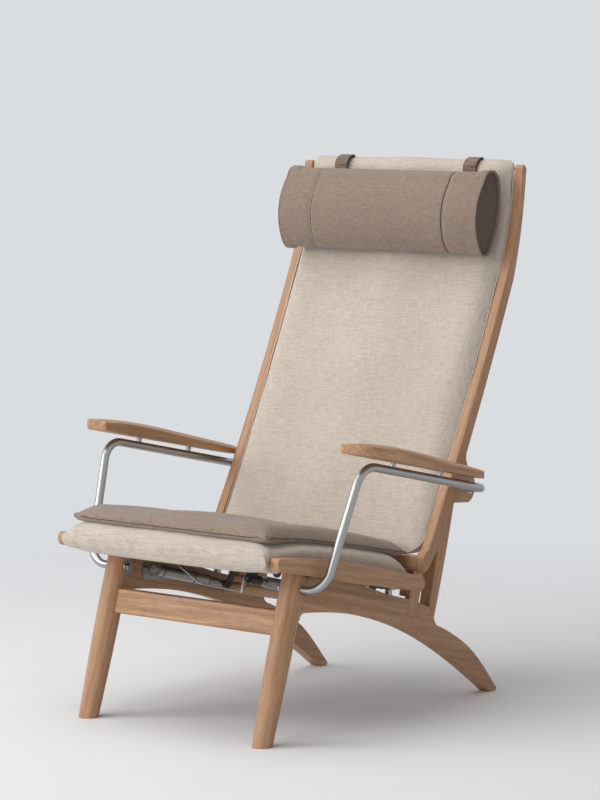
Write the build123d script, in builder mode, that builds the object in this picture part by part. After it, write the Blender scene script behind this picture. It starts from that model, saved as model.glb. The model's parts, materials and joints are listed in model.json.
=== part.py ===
"""Reclining easy chair: wooden base with steel arm tubes, a sliding seat and a hinged back.

Sizes are in mm. Places are told as x from the centre plane (sitter's left is positive),
y from the centre of the front feet towards the back, and z from the floor. The left-hand
piece of each pair is drawn and the right-hand one is its mirror image.
"""

import os
from math import cos, hypot, radians, sin, tan

from build123d import *

os.makedirs("parts", exist_ok=True)

# Stance and overall depth
foot_x = 214
seat_front_y = -36
back_rear_y = 727
overrun = 40
side_gap = 0.3

# Front legs, turned and leaning back
leg_foot_r = 17
leg_belly_r = 22.5
leg_top_r = 21.5
leg_top_y = 92
leg_top_z = 303
leg_belly_share = 0.63

# Side boards that run from the front legs to the rear feet
board_in_x = 200
board_t = 27
board_round = 3
board_front_y = 103
board_root_r = 12
board_low_z = 232
board_top_y = 112
board_top_z = 297
rear_foot_y = 681
rear_foot_len = 20
rear_foot_round = 5
board_low_shares = [(0.24, 0.086), (0.52, 0.3), (0.80, 0.665)]
board_top_shares = [(0.24, 0.13), (0.425, 0.31), (0.62, 0.56), (0.82, 0.76)]
rear_leg_shares = [(0.34, 0.265), (0.61, 0.49), (0.85, 0.79)]

# Rear posts and the short posts in front of them
post_foot_y = 482
post_foot_z = 193
post_foot_w = 18
post_heel_y = 497
post_heel_z = 170
post_top_r = 22
stub_y = 435
stub_z = 218
stub_w = 32
stub_rise = 44
stub_lap_drop = 36
stub_lap_t = 12

# Cross members of the base
stretcher_t = 18
stretcher_low_z = 194
stretcher_h = 45
cross_round = 4
mid_rail_y = 381
mid_rail_w = 21
mid_rail_low_z = 193
mid_rail_h = 20
rear_rail_t = 18
rear_rail_low_z = 232
rear_rail_h = 46
rear_rail_inset = 4

# Back pivot, on the arm tubes' inward ends
pivot_y = 546
pivot_z = 422
recline_deg = 15
running_gap = 0.05

# Arm tubes
tube_r = 8
tube_wall = 1.5
arm_x = 313.5
arm_foot_x = 287.7
arm_foot_y = 87
arm_foot_z = 277
arm_front_y = 165
arm_front_z = 504
tube_foot_bend = 45
tube_front_bend = 42
tube_rear_bend = 30
washer_r = 12
washer_t = 2
nut_r = 8
nut_t = 6
standoff_r = 5
standoff_front_y = 253
standoff_rear_y = 398

# Armrests
arm_tip_y = 133
arm_end_y = 528
arm_under_front_z = 527
arm_under_rear_z = 444
arm_in_front_x = 289
arm_in_rear_x = 283
arm_out_front_x = 357
arm_out_rear_x = 333
arm_thick = 27
arm_corner_r = 35
arm_station_shares = [
    (0.0, 0.58, 0.16),
    (0.17, 0.74, 0.22),
    (0.40, 0.70, 0.30),
    (0.60, 0.55, 0.34),
    (0.78, 0.44, 0.34),
    (1.0, 0.30, 0.33),
]

# Sloping slides that carry the seat
slide_deg = 14.5
slide_x = 213
slide_w = 16
slide_t = 5
slide_front_y = 270
slide_front_z = 270
slide_rear_y = 384
slide_block_w = 8
slide_block_len = 12
slide_block_inset = 24
carriage_wall = 3
carriage_lip_t = 2
carriage_len = 52
carriage_y = 338
carriage_flange_h = 7
carriage_flange_t = 3
glide_t = 4
strip_t = 3
strip_front_y = 79
strip_rear_y = 140
strip_in_x = 204
strip_flange_h = 4
bumper_r = 6

# Seat frame
rail_in_x = 250
rail_out_x = 270
rail_tip_y = -29
rail_tip_z = 337
rail_tip_r = 13
rail_end_y = 412
rail_end_z = 253
rail_end_r = 14
rail_top_y = 122
rail_top_z = 332
rail_under_y = 107
rail_under_z = 300
rail_top_shares = [(0.31, 0.27), (0.69, 0.66)]
rail_under_shares = [(0.34, 0.37), (0.73, 0.74)]
seat_front_rail_y = 4
seat_front_rail_w = 20
seat_front_rail_h = 18
seat_rear_rail_y = 399
seat_rear_rail_z = 252
seat_rear_rail_w = 18
seat_rear_rail_h = 20
crossbar_y = 230
crossbar_w = 30
crossbar_t = 6
crossbar_drop = 5
webbing_t = 2
webbing_w = 38
webbing_first_y = 45
webbing_pitch = 58
webbing_count = 6

# Seat pad, drawn above a straight lower line
pad_half_w = 246.5
pad_end_y = 402
pad_toe_y = -18
pad_toe_z = 332
pad_end_z = 262
pad_h = 52
seat_edge_shares = [
    (0.008, 0.20),
    (0.023, 0.52),
    (0.045, 0.67),
    (0.082, 0.72),
    (0.463, 0.86),
    (0.826, 0.70),
    (0.934, 0.48),
    (1.0, 0.12),
]
seat_crown_shares = [
    (0.0, 0.33),
    (0.012, 0.62),
    (0.040, 0.84),
    (0.090, 0.94),
    (0.463, 1.00),
    (0.826, 0.83),
    (0.934, 0.56),
    (1.0, 0.14),
]
seat_width_shares = [(1.0, 0.0), (0.93, 0.5), (0.75, 0.85), (0.0, 1.0)]

# Loose seat cushion, drawn above the same lower line
cushion_half_w = 236
cushion_front_y = -16
cushion_end_y = 403
cushion_seam_t = 3.5
cushion_edge_shares = [
    (0.0, 1.06),
    (0.04, 1.07),
    (0.13, 1.10),
    (0.54, 1.08),
    (0.91, 0.96),
    (0.97, 0.93),
    (1.0, 0.91),
]
cushion_top_shares = [
    (0.0, 1.06),
    (0.04, 1.36),
    (0.13, 1.56),
    (0.54, 1.57),
    (0.91, 1.32),
    (0.97, 1.19),
    (1.0, 0.93),
]
cushion_under_shares = [
    (0.0, 1.06),
    (0.04, 0.90),
    (0.13, 0.82),
    (0.54, 0.80),
    (0.91, 0.64),
    (0.97, 0.66),
    (1.0, 0.91),
]
cushion_width_shares = [(1.0, 0.0), (0.95, 0.45), (0.80, 0.80), (0.0, 1.0)]

# Back stiles
stile_in_x = 252
stile_out_x = 272
stile_round = 4
foot_front_y = 404
foot_low_z = 272
foot_high_z = 298
foot_rear_y = 417
foot_rear_z = 277
face_low_y = 420
face_low_z = 315
face_mid_y = 541
face_mid_z = 548
face_high_y = 662
face_high_z = 812
face_bend_y = 697
face_bend_z = 915
face_top_y = 714
face_top_z = 1023
stile_top_z = 1032
stile_rear_top_z = 1016
stile_bend_depth = 16.5
stile_high_depth = 26
stile_mid_depth = 27
stile_low_depth = 30
lug_high_z = 490
lug_low_z = 397
lug_reach = 19
lug_drop = 29
lug_shares = [(-0.16, 1.45), (0.63, 0.86), (1.0, 0.14), (0.74, -0.62), (0.0, -1.0)]
bush_wall = 2
bush_flange_r = 12
bush_flange_t = 1.5

# Back rails and pad
top_rail_t = 10
top_rail_h = 44
top_rail_z = 990
lumbar_rail_t = 12
lumbar_rail_h = 50
lumbar_rail_z = 590
low_rail_y = 413
low_rail_t = 16
low_rail_low_z = 275.5
low_rail_h = 28
back_half_w = 251.7
back_low_y = 418
back_low_z = 308
back_rear_inset = 3
back_crest_y = 716
back_crest_z = 1044
back_edge_crest_y = 720
back_edge_crest_z = 1036
back_crown = 23
back_low_crown = 6
back_brow_shares = [(0.36, 0.70), (0.93, 0.36)]
back_width_shares = [(1.0, 0.0), (0.955, 0.45), (0.83, 0.8), (0.0, 1.0)]

# Drive between back and seat: a pin on the seat in a slotted bracket on the back
drive_x = 120
drive_plate_t = 5
drive_pin_y = 432
drive_pin_z = 256
drive_pin_r = 4
drive_pin_gap = 1.3
drive_wall = 6
cheek_t = 4
cheek_gap = 3
cheek_r = 8
bracket_flange_w = 24
bracket_flange_t = 3
pin_head_t = 3
pin_head_r = 7

# Return spring under the seat, on the sitter's right
spring_x = 184
spring_y = 146
spring_z = 267
spring_r = 10.5
spring_eye_r = 8
spring_eye_t = 9
spring_pin_r = 4
spring_body_start = 16
spring_body_len = 152
spring_bore_len = 120
spring_rod_r = 7.8
spring_rod_in = 42
rod_eye_y = 352
rod_eye_r = 7.5
spring_neck_r = 5.5
spring_ring_t = 4
spring_plate_x = 169
spring_plate_r = 8
spring_flange_w = 18
plate_t = 3
plate_front_y = 137
plate_len = 114
plate_low_z = 232
plate_h = 44
plate_shares = [
    (0.0, 0.98),
    (0.0, 0.43),
    (0.06, 0.32),
    (0.34, 0.25),
    (0.98, 0.0),
    (1.0, 0.12),
    (0.42, 0.62),
    (0.12, 1.0),
]
plate_screw_r = 4
plate_screw_t = 2
screw_shank_r = 2
screw_len = 16
plate_screw_shares = [(0.2, 0.52), (0.72, 0.24)]

# Lock strut on the centre line
lock_y = 270
lock_z = 245
lock_tube_r = 11
lock_tube_front_y = 262
lock_tube_rear_y = 346
lock_eye_y = 357
lock_eye_r = 7
lock_eye_t = 8
lock_pin_r = 3
lock_wall = 2
lock_piston_t = 6
lock_rod_r = 5
lock_rod_in = 45
lock_head_front_y = 214
lock_head_rear_y = 248
lock_head_r = 9
lock_hanger_w = 14
lock_hanger_len = 18
lock_clevis_t = 3
lock_clevis_w = 28
release_y = 206
release_z = 261
release_deg = 20
release_arm_t = 4
release_arm_len = 28
release_arm_r = 5
release_pin_r = 2.5

# Release handle and its cable
handle_y = 190
handle_z = 302
handle_shaft_r = 4
handle_len = 72
handle_w = 18
handle_t = 9
handle_arm_t = 2.5
handle_arm_len = 12
handle_arm_w = 8
handle_hub_r = 6
cable_r = 1.6
cable_bend = 24
cable_route = [(-246.7, 190, 290), (-190, 194, 289), (-110, 202, 240), (-2.8, 197, 236)]

# Headrest
pillow_half_w = 245
pillow_low_z = 857
pillow_top_z = 1022
pillow_front_y = 597
pillow_depth = 80
pillow_edge_r = 4
pillow_end_share = 0.9
pillow_shares = [
    (1.0, 0.89),
    (0.775, 1.0),
    (0.35, 0.87),
    (0.0, 0.424),
    (0.20, 0.06),
    (0.375, 0.0),
    (0.62, 0.045),
    (1.002, 0.47),
]
strap_x = 160
strap_w = 30
strap_t = 2
strap_low_z = 872
strap_end_z = 765
strap_share = 0.9
weight_half_w = 185
weight_h = 62
weight_t = 26
weight_z = 790


def at(x, y, z):
    """A place in the model, whose origin is under the middle of the chair."""
    return (x, y - mid_y, z)


def side_plane(x):
    """A plane facing the sitter's left at x; its axes are y and z."""
    return Plane(origin=at(x, 0, 0), x_dir=(0, 1, 0), z_dir=(1, 0, 0))


def between(start, end, shares):
    """Points at the given shares of the way from start to end, along each axis."""
    return [
        (start[0] + a * (end[0] - start[0]), start[1] + b * (end[1] - start[1]))
        for a, b in shares
    ]


def mix(one, other, share):
    """Points that lie the given share of the way from one list to the other."""
    return [between(a, b, [(share, share)])[0] for a, b in zip(one, other)]


def save(builder, name):
    """Writes one piece as its own file."""
    builder.part.label = name
    export_step(builder.part, f"parts/{name}.step")


def save_pair(builder, name):
    """Writes the left-hand piece and its mirror image."""
    save(builder, f"{name}_l")
    with BuildPart() as twin:
        mirror(builder.part, about=Plane.YZ)
    save(twin, f"{name}_r")


def leg_axis_y(z):
    """Where a front leg's centre line is at a height."""
    return z * leg_top_y / leg_top_z


def on_slide(y0, z0, y):
    """Height at y of a line through a point, parallel to the seat's slides."""
    return z0 - (y - y0) * tan(radians(slide_deg))


def reclined(y, z, deg):
    """Where a point of the back goes when the back leans back by an angle."""
    turn = radians(deg)
    dy, dz = y - pivot_y, z - pivot_z
    return (pivot_y + dy * cos(turn) + dz * sin(turn), pivot_z - dy * sin(turn) + dz * cos(turn))


def arc_y(points, z):
    """The y at height z of the circle through three points, on its rearward side or front."""
    (y1, z1), (y2, z2), (y3, z3) = points
    d = 2 * (y1 * (z2 - z3) + y2 * (z3 - z1) + y3 * (z1 - z2))
    s1, s2, s3 = y1 * y1 + z1 * z1, y2 * y2 + z2 * z2, y3 * y3 + z3 * z3
    cy = (s1 * (z2 - z3) + s2 * (z3 - z1) + s3 * (z1 - z2)) / d
    cz = (s1 * (y3 - y2) + s2 * (y1 - y3) + s3 * (y2 - y1)) / d
    reach = (hypot(y1 - cy, z1 - cz) ** 2 - (z - cz) ** 2) ** 0.5
    return cy + reach if y2 > cy else cy - reach


# Distances that follow from the sizes above
mid_y = (seat_front_y + back_rear_y + strap_t) / 2
slide_slope = tan(radians(slide_deg))
seat_forward = foot_front_y - reclined(foot_front_y, foot_low_z, recline_deg)[0]
seat_travel = seat_forward / cos(radians(slide_deg))
seat_lift = seat_forward * slide_slope
slide_len = (slide_rear_y - slide_front_y) / cos(radians(slide_deg))
slide_mid_y = (slide_front_y + slide_rear_y) / 2
slide_mid_z = on_slide(slide_front_y, slide_front_z, slide_mid_y)
board_out_x = board_in_x + board_t
pad_slope = (pad_toe_z - pad_end_z) / (pad_end_y - pad_toe_y)
face_low = [(face_low_y, face_low_z), (face_mid_y, face_mid_z), (face_high_y, face_high_z)]
face_high = [(face_high_y, face_high_z), (face_bend_y, face_bend_z), (face_top_y, face_top_z)]
rear_low = [
    (face_low_y + stile_low_depth, face_low_z),
    (face_mid_y + stile_mid_depth, face_mid_z),
    (face_high_y + stile_high_depth, face_high_z),
]
rear_high = [
    (face_high_y + stile_high_depth, face_high_z),
    (face_bend_y + stile_bend_depth, face_bend_z),
    (back_rear_y, stile_rear_top_z),
]


def pad_under_z(y):
    """Height of the seat pad's lower line."""
    return pad_toe_z - (y - pad_toe_y) * pad_slope


def above_pad_line(front_y, end_y, shares):
    """Turns shares of a length and of the pad's height into points above its lower line."""
    ys = [front_y + a * (end_y - front_y) for a, b in shares]
    return [(y, pad_under_z(y) + s[1] * pad_h) for y, s in zip(ys, shares)]


# Front legs
def leg_solid():
    lean = (0, leg_top_y, leg_top_z)
    leg_len = hypot(leg_top_y, leg_top_z)
    face = Plane(origin=at(foot_x, 0, 0), x_dir=(1, 0, 0), z_dir=(0, -leg_top_z, leg_top_y))
    with BuildPart() as leg:
        with BuildSketch(face):
            with BuildLine():
                side = ThreePointArc(
                    (leg_foot_r, -overrun),
                    (leg_belly_r, leg_len * leg_belly_share),
                    (leg_top_r, leg_len + overrun),
                )
                Polyline(side @ 1, (0, leg_len + overrun), (0, -overrun), side @ 0)
            make_face()
        revolve(axis=Axis(at(foot_x, 0, 0), lean))
        split(bisect_by=Plane.XY, keep=Keep.TOP)
        top = Plane(
            origin=at(foot_x, leg_top_y, leg_top_z),
            x_dir=(1, 0, 0),
            z_dir=(0, slide_slope, 1),
        )
        split(bisect_by=top, keep=Keep.BOTTOM)
    return leg


leg_blank = leg_solid()
with BuildPart() as front_leg:
    add(leg_blank.part)
    with Locations(Location(at(foot_x, arm_foot_y, arm_foot_z), (0, 90, 0))):
        Cylinder(tube_r, 4 * leg_belly_r, mode=Mode.SUBTRACT)
save_pair(front_leg, "front_leg")

# Side boards
post_foot = (post_foot_y, post_foot_z)
post_heel = (post_heel_y, post_heel_z)
with BuildPart() as side_rail:
    with BuildSketch(side_plane(board_in_x)):
        with BuildLine():
            root_z = board_low_z - board_root_r
            root_y = board_front_y - board_root_r
            turn = board_root_r * sin(radians(45))
            low_edge = between((board_front_y, board_low_z), (rear_foot_y, 0), board_low_shares)
            Spline((board_front_y, board_low_z), *low_edge, (rear_foot_y, 0))
            foot_end = rear_foot_y + rear_foot_len
            Line((rear_foot_y, 0), (foot_end - rear_foot_round, 0))
            Line((foot_end - rear_foot_round, 0), (foot_end, rear_foot_round))
            leg_edge = between(post_heel, (foot_end, rear_foot_round), rear_leg_shares)
            blend_y = post_heel_y + post_foot_w
            blend_z = post_heel_z - post_foot_w
            Spline((blend_y, blend_z), *leg_edge, (foot_end, rear_foot_round))
            ThreePointArc(
                (blend_y, blend_z),
                (post_heel_y + post_foot_w / 3, post_heel_z - post_foot_w * 2 / 3),
                post_heel,
            )
            Line(post_heel, post_foot)
            top_edge = between((board_top_y, board_top_z), post_foot, board_top_shares)
            Spline(post_foot, *reversed(top_edge), (board_top_y, board_top_z))
            Line((board_top_y, board_top_z), (leg_axis_y(board_top_z), board_top_z))
            Line((leg_axis_y(board_top_z), board_top_z), (leg_axis_y(root_z), root_z))
            Line((leg_axis_y(root_z), root_z), (root_y, root_z))
            ThreePointArc(
                (root_y, root_z),
                (board_front_y - turn, root_z + turn),
                (board_front_y, board_low_z),
            )
        make_face()
    extrude(amount=board_t)
    add(leg_blank.part, mode=Mode.SUBTRACT)
    with BuildSketch(side_plane(board_out_x - stub_lap_t)):
        with Locations((stub_y, stub_z)):
            Rectangle(stub_w, 2 * stub_lap_drop, rotation=-slide_deg)
    extrude(amount=stub_lap_t, mode=Mode.SUBTRACT)
save(side_rail, "side_rail_l")
plate_start = (plate_front_y, plate_low_z)
plate_end = (plate_front_y + plate_len, plate_low_z + plate_h)
plate_screws = between(plate_start, plate_end, plate_screw_shares)
with BuildPart() as right_side_rail:
    mirror(side_rail.part, about=Plane.YZ)
    for y, z in plate_screws:
        with Locations(Location(at(-board_in_x, y, z), (0, -90, 0))):
            Cylinder(
                screw_shank_r,
                screw_len,
                align=(Align.CENTER, Align.CENTER, Align.MIN),
                mode=Mode.SUBTRACT,
            )
save(right_side_rail, "side_rail_r")

# Short posts, lapped into the boards, that stop the seat at its rear
stub_top_y = stub_y + stub_rise * sin(radians(slide_deg))
stub_top_z = stub_z + stub_rise * cos(radians(slide_deg))
with BuildPart() as stub_post:
    with BuildSketch(side_plane(board_in_x)):
        with Locations((stub_y, stub_z)):
            Rectangle(
                stub_w, stub_rise, rotation=-slide_deg, align=(Align.CENTER, Align.MIN)
            )
        with Locations((stub_top_y, stub_top_z)):
            Circle(stub_w / 2)
    extrude(amount=board_t)
    with BuildSketch(side_plane(board_out_x - stub_lap_t)):
        with Locations((stub_y, stub_z)):
            Rectangle(
                stub_w, stub_lap_drop, rotation=-slide_deg, align=(Align.CENTER, Align.MAX)
            )
    extrude(amount=stub_lap_t)
    add(side_rail.part, mode=Mode.SUBTRACT)
save_pair(stub_post, "stub_post")

# Rear posts that hold the arm tubes' rear ends
with BuildPart() as rear_post:
    with BuildSketch(side_plane(board_in_x)):
        with BuildLine():
            front_top = (pivot_y - post_top_r, pivot_z)
            rear_top = (pivot_y + post_top_r, pivot_z)
            ThreePointArc(
                post_foot,
                (post_foot_y + post_foot_w * 1.4, (post_foot_z + pivot_z) / 2 - board_round),
                front_top,
            )
            ThreePointArc(front_top, (pivot_y, pivot_z + post_top_r), rear_top)
            ThreePointArc(
                rear_top,
                ((pivot_y + post_top_r + post_heel_y) / 2 + board_round, (pivot_z + post_heel_z) / 2),
                post_heel,
            )
            Line(post_heel, post_foot)
        make_face()
    extrude(amount=board_t)
    with Locations(Location(at(board_in_x, pivot_y, pivot_z), (0, 90, 0))):
        Cylinder(tube_r, 4 * board_t, mode=Mode.SUBTRACT)
save_pair(rear_post, "rear_post")

# Front stretcher, scribed to the legs
with BuildPart() as front_stretcher:
    low, high = stretcher_low_z, stretcher_low_z + stretcher_h
    with BuildSketch(side_plane(-foot_x)):
        Polygon(
            (leg_axis_y(low) - stretcher_t / 2, low),
            (leg_axis_y(low) + stretcher_t / 2, low),
            (leg_axis_y(high) + stretcher_t / 2, high),
            (leg_axis_y(high) - stretcher_t / 2, high),
            align=None,
        )
    extrude(amount=2 * foot_x)
    fillet(front_stretcher.edges().filter_by(Axis.X), cross_round)
    add(leg_blank.part, mode=Mode.SUBTRACT)
    mirror(leg_blank.part, about=Plane.YZ, mode=Mode.SUBTRACT)
save(front_stretcher, "front_stretcher")

# Middle and rear cross rails of the base
with BuildPart() as mid_cross_rail:
    with BuildSketch(side_plane(-board_in_x)):
        with Locations((mid_rail_y, mid_rail_low_z)):
            Rectangle(mid_rail_w, mid_rail_h, align=(Align.CENTER, Align.MIN))
    extrude(amount=2 * board_in_x)
    fillet(mid_cross_rail.edges().filter_by(Axis.X), cross_round)
save(mid_cross_rail, "mid_cross_rail")

with BuildPart() as rear_cross_rail:
    lean_share = (pivot_y - post_foot_y) / (pivot_z - post_foot_z)
    rail_y = post_foot_y + (rear_rail_low_z - post_foot_z) * lean_share + rear_rail_inset
    with BuildSketch(side_plane(-board_in_x)):
        with Locations((rail_y, rear_rail_low_z)):
            Rectangle(rear_rail_t, rear_rail_h, align=(Align.MIN, Align.MIN))
    extrude(amount=2 * board_in_x)
    fillet(rear_cross_rail.edges().filter_by(Axis.X), cross_round)
save(rear_cross_rail, "rear_cross_rail")

# Arm tubes
run_slope = (arm_front_z - pivot_z) / (pivot_y - arm_front_y)
run_lean = (0, run_slope, 1)


def run_z(y):
    """Height of an arm tube's upper run."""
    return pivot_z + (pivot_y - y) * run_slope


arm_route = [
    at(foot_x - leg_top_r, arm_foot_y, arm_foot_z),
    at(arm_foot_x, arm_foot_y, arm_foot_z),
    at(arm_x, arm_front_y, arm_front_z),
    at(arm_x, pivot_y, pivot_z),
    at(board_in_x, pivot_y, pivot_z),
]
arm_bends = (tube_foot_bend, tube_front_bend, tube_rear_bend)
with BuildPart() as arm_tube:
    with BuildLine():
        FilletPolyline(*arm_route, radius=arm_bends)
    with BuildSketch(Plane(origin=arm_route[0], x_dir=(0, 1, 0), z_dir=(1, 0, 0))):
        Circle(tube_r)
        Circle(tube_r - tube_wall, mode=Mode.SUBTRACT)
    sweep()
save_pair(arm_tube, "arm_tube")

# Washers and nuts at both ends of each arm tube
with BuildPart() as arm_tube_nuts:
    leg_face_x = foot_x - leg_belly_r
    spots = [(leg_face_x, arm_foot_y, arm_foot_z), (board_in_x, pivot_y, pivot_z)]
    for x, y, z in spots:
        with Locations(Location(at(x, y, z), (0, -90, 0))):
            Cylinder(washer_r, washer_t, align=(Align.CENTER, Align.CENTER, Align.MIN))
        with BuildSketch(Plane(origin=at(x - washer_t, y, z), z_dir=(-1, 0, 0))):
            RegularPolygon(nut_r, 6)
        extrude(amount=nut_t)
    with Locations(Location(at(leg_face_x, arm_foot_y, arm_foot_z), (0, 90, 0))):
        Cylinder(
            tube_r - tube_wall,
            leg_belly_r - leg_top_r + washer_t,
            align=(Align.CENTER, Align.CENTER, Align.MIN),
        )
    add(leg_blank.part, mode=Mode.SUBTRACT)
    mirror(arm_tube_nuts.part, about=Plane.YZ)
save(arm_tube_nuts, "arm_tube_nuts")

# Armrests, lofted through cross-sections and trimmed to their outline
with BuildPart() as armrest:
    arm_len = arm_end_y - arm_tip_y
    for along, side, crown in arm_station_shares:
        in_x = arm_in_front_x + along * (arm_in_rear_x - arm_in_front_x)
        out_x = arm_out_front_x + along * (arm_out_rear_x - arm_out_front_x)
        low = arm_under_front_z + along * (arm_under_rear_z - arm_under_front_z)
        y = arm_tip_y + along * arm_len
        face = Plane(origin=at(0, y, 0), x_dir=(1, 0, 0), z_dir=(0, -1, 0))
        with BuildSketch(face):
            with BuildLine():
                high = low + side * arm_thick
                ThreePointArc(
                    (in_x, high), ((in_x + out_x) / 2, high + crown * arm_thick), (out_x, high)
                )
                Polyline((out_x, high), (out_x, low), (in_x, low), (in_x, high))
            make_face()
    loft()
    with BuildSketch(Plane(origin=at(0, 0, 0))):
        with BuildLine():
            end_r = (arm_out_rear_x - arm_in_rear_x) / 2
            end_mid_x = (arm_out_rear_x + arm_in_rear_x) / 2
            turn_y = arm_end_y - end_r
            corner = arm_corner_r * (1 - sin(radians(45)))
            Line((arm_in_front_x, arm_tip_y), (arm_in_rear_x, turn_y))
            ThreePointArc(
                (arm_in_rear_x, turn_y),
                (end_mid_x, arm_end_y),
                (arm_out_rear_x, turn_y),
            )
            Line(
                (arm_out_rear_x, turn_y),
                (arm_out_front_x, arm_tip_y + arm_corner_r),
            )
            ThreePointArc(
                (arm_out_front_x, arm_tip_y + arm_corner_r),
                (arm_out_front_x - corner, arm_tip_y + corner),
                (arm_out_front_x - arm_corner_r, arm_tip_y),
            )
            Line(
                (arm_out_front_x - arm_corner_r, arm_tip_y),
                (arm_in_front_x, arm_tip_y),
            )
        make_face()
    extrude(amount=2 * arm_under_front_z, mode=Mode.INTERSECT)
save_pair(armrest, "armrest")

# Pins that hold the armrests above the tubes
with BuildPart() as armrest_standoffs:
    for y in (standoff_front_y, standoff_rear_y):
        foot = Plane(origin=at(arm_x, y, run_z(y)), z_dir=run_lean)
        with BuildSketch(foot.offset(tube_r - tube_wall / 2)):
            Circle(standoff_r)
        extrude(amount=arm_thick)
    add(armrest.part, mode=Mode.SUBTRACT)
    add(arm_tube.part, mode=Mode.SUBTRACT)
    mirror(armrest_standoffs.part, about=Plane.YZ)
save(armrest_standoffs, "armrest_standoffs")

# Slide bars on blocks, on the side boards
bar_half_x = slide_w / 2
with BuildPart() as slide_rail:
    with BuildSketch(side_plane(slide_x - bar_half_x)):
        with Locations((slide_mid_y, slide_mid_z)):
            Rectangle(slide_len, slide_t, rotation=-slide_deg)
    extrude(amount=slide_w)
    for y in (slide_front_y + slide_block_inset, slide_rear_y - slide_block_len):
        with BuildSketch(side_plane(slide_x - slide_block_w / 2)):
            with Locations((y, on_slide(slide_front_y, slide_front_z, y) - slide_t)):
                Rectangle(slide_block_len, 4 * slide_t, align=(Align.CENTER, Align.MAX))
                Rectangle(slide_block_len, slide_t, align=(Align.CENTER, Align.MIN))
        extrude(amount=slide_block_w)
    add(side_rail.part, mode=Mode.SUBTRACT)
    for spare in slide_rail.solids().sort_by(Axis.Z)[:-1]:
        add(spare, mode=Mode.SUBTRACT)
save_pair(slide_rail, "slide_rail")

# Glides on top of the front legs
with BuildPart() as leg_glides:
    leg_top = Plane(origin=at(foot_x, leg_top_y, leg_top_z), z_dir=(0, slide_slope, 1))
    with BuildSketch(leg_top):
        Circle(leg_top_r - board_round)
    extrude(amount=glide_t)
    mirror(leg_glides.part, about=Plane.YZ)
save(leg_glides, "leg_glides")

# Seat side rails
with BuildPart() as seat_rail:
    with BuildSketch(side_plane(rail_in_x)):
        with BuildLine():
            tip = (rail_tip_y, rail_tip_z)
            tip_top = (rail_tip_y + rail_tip_r / 2, rail_tip_z + rail_tip_r)
            tip_low = (rail_tip_y + rail_tip_r, rail_tip_z - rail_tip_r)
            end = (rail_end_y, rail_end_z)
            end_top = (rail_end_y - rail_end_r / 2, rail_end_z + rail_end_r)
            end_low = (rail_end_y - rail_end_r, rail_end_z - rail_end_r)
            ThreePointArc(tip_low, tip, tip_top)
            rail_top = (rail_top_y, rail_top_z)
            top_edge = between(rail_top, end_top, rail_top_shares)
            Spline(tip_top, rail_top, *top_edge, end_top)
            ThreePointArc(end_top, end, end_low)
            rail_under = (rail_under_y, rail_under_z)
            under_edge = between(rail_under, end_low, rail_under_shares)
            Spline(end_low, *reversed(under_edge), rail_under, tip_low)
        make_face()
    extrude(amount=rail_out_x - rail_in_x)
save(seat_rail, "seat_rail_l")
with BuildPart() as right_seat_rail:
    mirror(seat_rail.part, about=Plane.YZ)
    with Locations(Location(at(-rail_out_x, handle_y, handle_z), (0, 90, 0))):
        Cylinder(handle_shaft_r + running_gap, 4 * board_t, mode=Mode.SUBTRACT)
save(right_seat_rail, "seat_rail_r")

# Cross members of the seat
with BuildPart() as seat_front_rail:
    with BuildSketch(side_plane(-rail_in_x)):
        with Locations((seat_front_rail_y, pad_under_z(seat_front_rail_y))):
            Rectangle(seat_front_rail_w, seat_front_rail_h, align=(Align.CENTER, Align.MIN))
    extrude(amount=2 * rail_in_x)
save(seat_front_rail, "seat_front_rail")

with BuildPart() as seat_rear_rail:
    with BuildSketch(side_plane(-rail_in_x)):
        with Locations((seat_rear_rail_y, seat_rear_rail_z)):
            Rectangle(seat_rear_rail_w, seat_rear_rail_h, rotation=-slide_deg)
    extrude(amount=2 * rail_in_x)
save(seat_rear_rail, "seat_rear_rail")

crossbar_z = pad_under_z(crossbar_y) - webbing_t - crossbar_drop
with BuildPart() as seat_crossbar:
    with BuildSketch(side_plane(-rail_in_x)):
        with Locations((crossbar_y, crossbar_z)):
            Rectangle(crossbar_w, crossbar_t, rotation=-slide_deg)
    extrude(amount=2 * rail_in_x)
save(seat_crossbar, "seat_crossbar")

# Webbing straps under the seat pad
with BuildPart() as seat_webbing:
    for n in range(webbing_count):
        y = webbing_first_y + n * webbing_pitch
        face = Plane(origin=at(-rail_in_x, y, pad_under_z(y)), x_dir=(0, 1, -pad_slope), z_dir=(1, 0, 0))
        with BuildSketch(face):
            Rectangle(webbing_w, webbing_t, align=(Align.CENTER, Align.MAX))
        extrude(amount=2 * rail_in_x)
save(seat_webbing, "seat_webbing")

# Bumpers on the short posts, which the seat's rear rail rests against
with BuildPart() as stub_bumpers:
    x = board_in_x + board_t / 2
    face = Plane(
        origin=at(x, seat_rear_rail_y, seat_rear_rail_z),
        x_dir=(1, 0, 0),
        z_dir=(0, 1, -slide_slope),
    )
    with BuildSketch(face.offset(seat_rear_rail_w / 2 + side_gap)):
        Circle(bumper_r)
    extrude(amount=stub_w)
    add(stub_post.part, mode=Mode.SUBTRACT)
    for spare in stub_bumpers.solids().sort_by(Axis.Y)[1:]:
        add(spare, mode=Mode.SUBTRACT)
    mirror(stub_bumpers.part, about=Plane.YZ)
save(stub_bumpers, "stub_bumpers")

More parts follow.
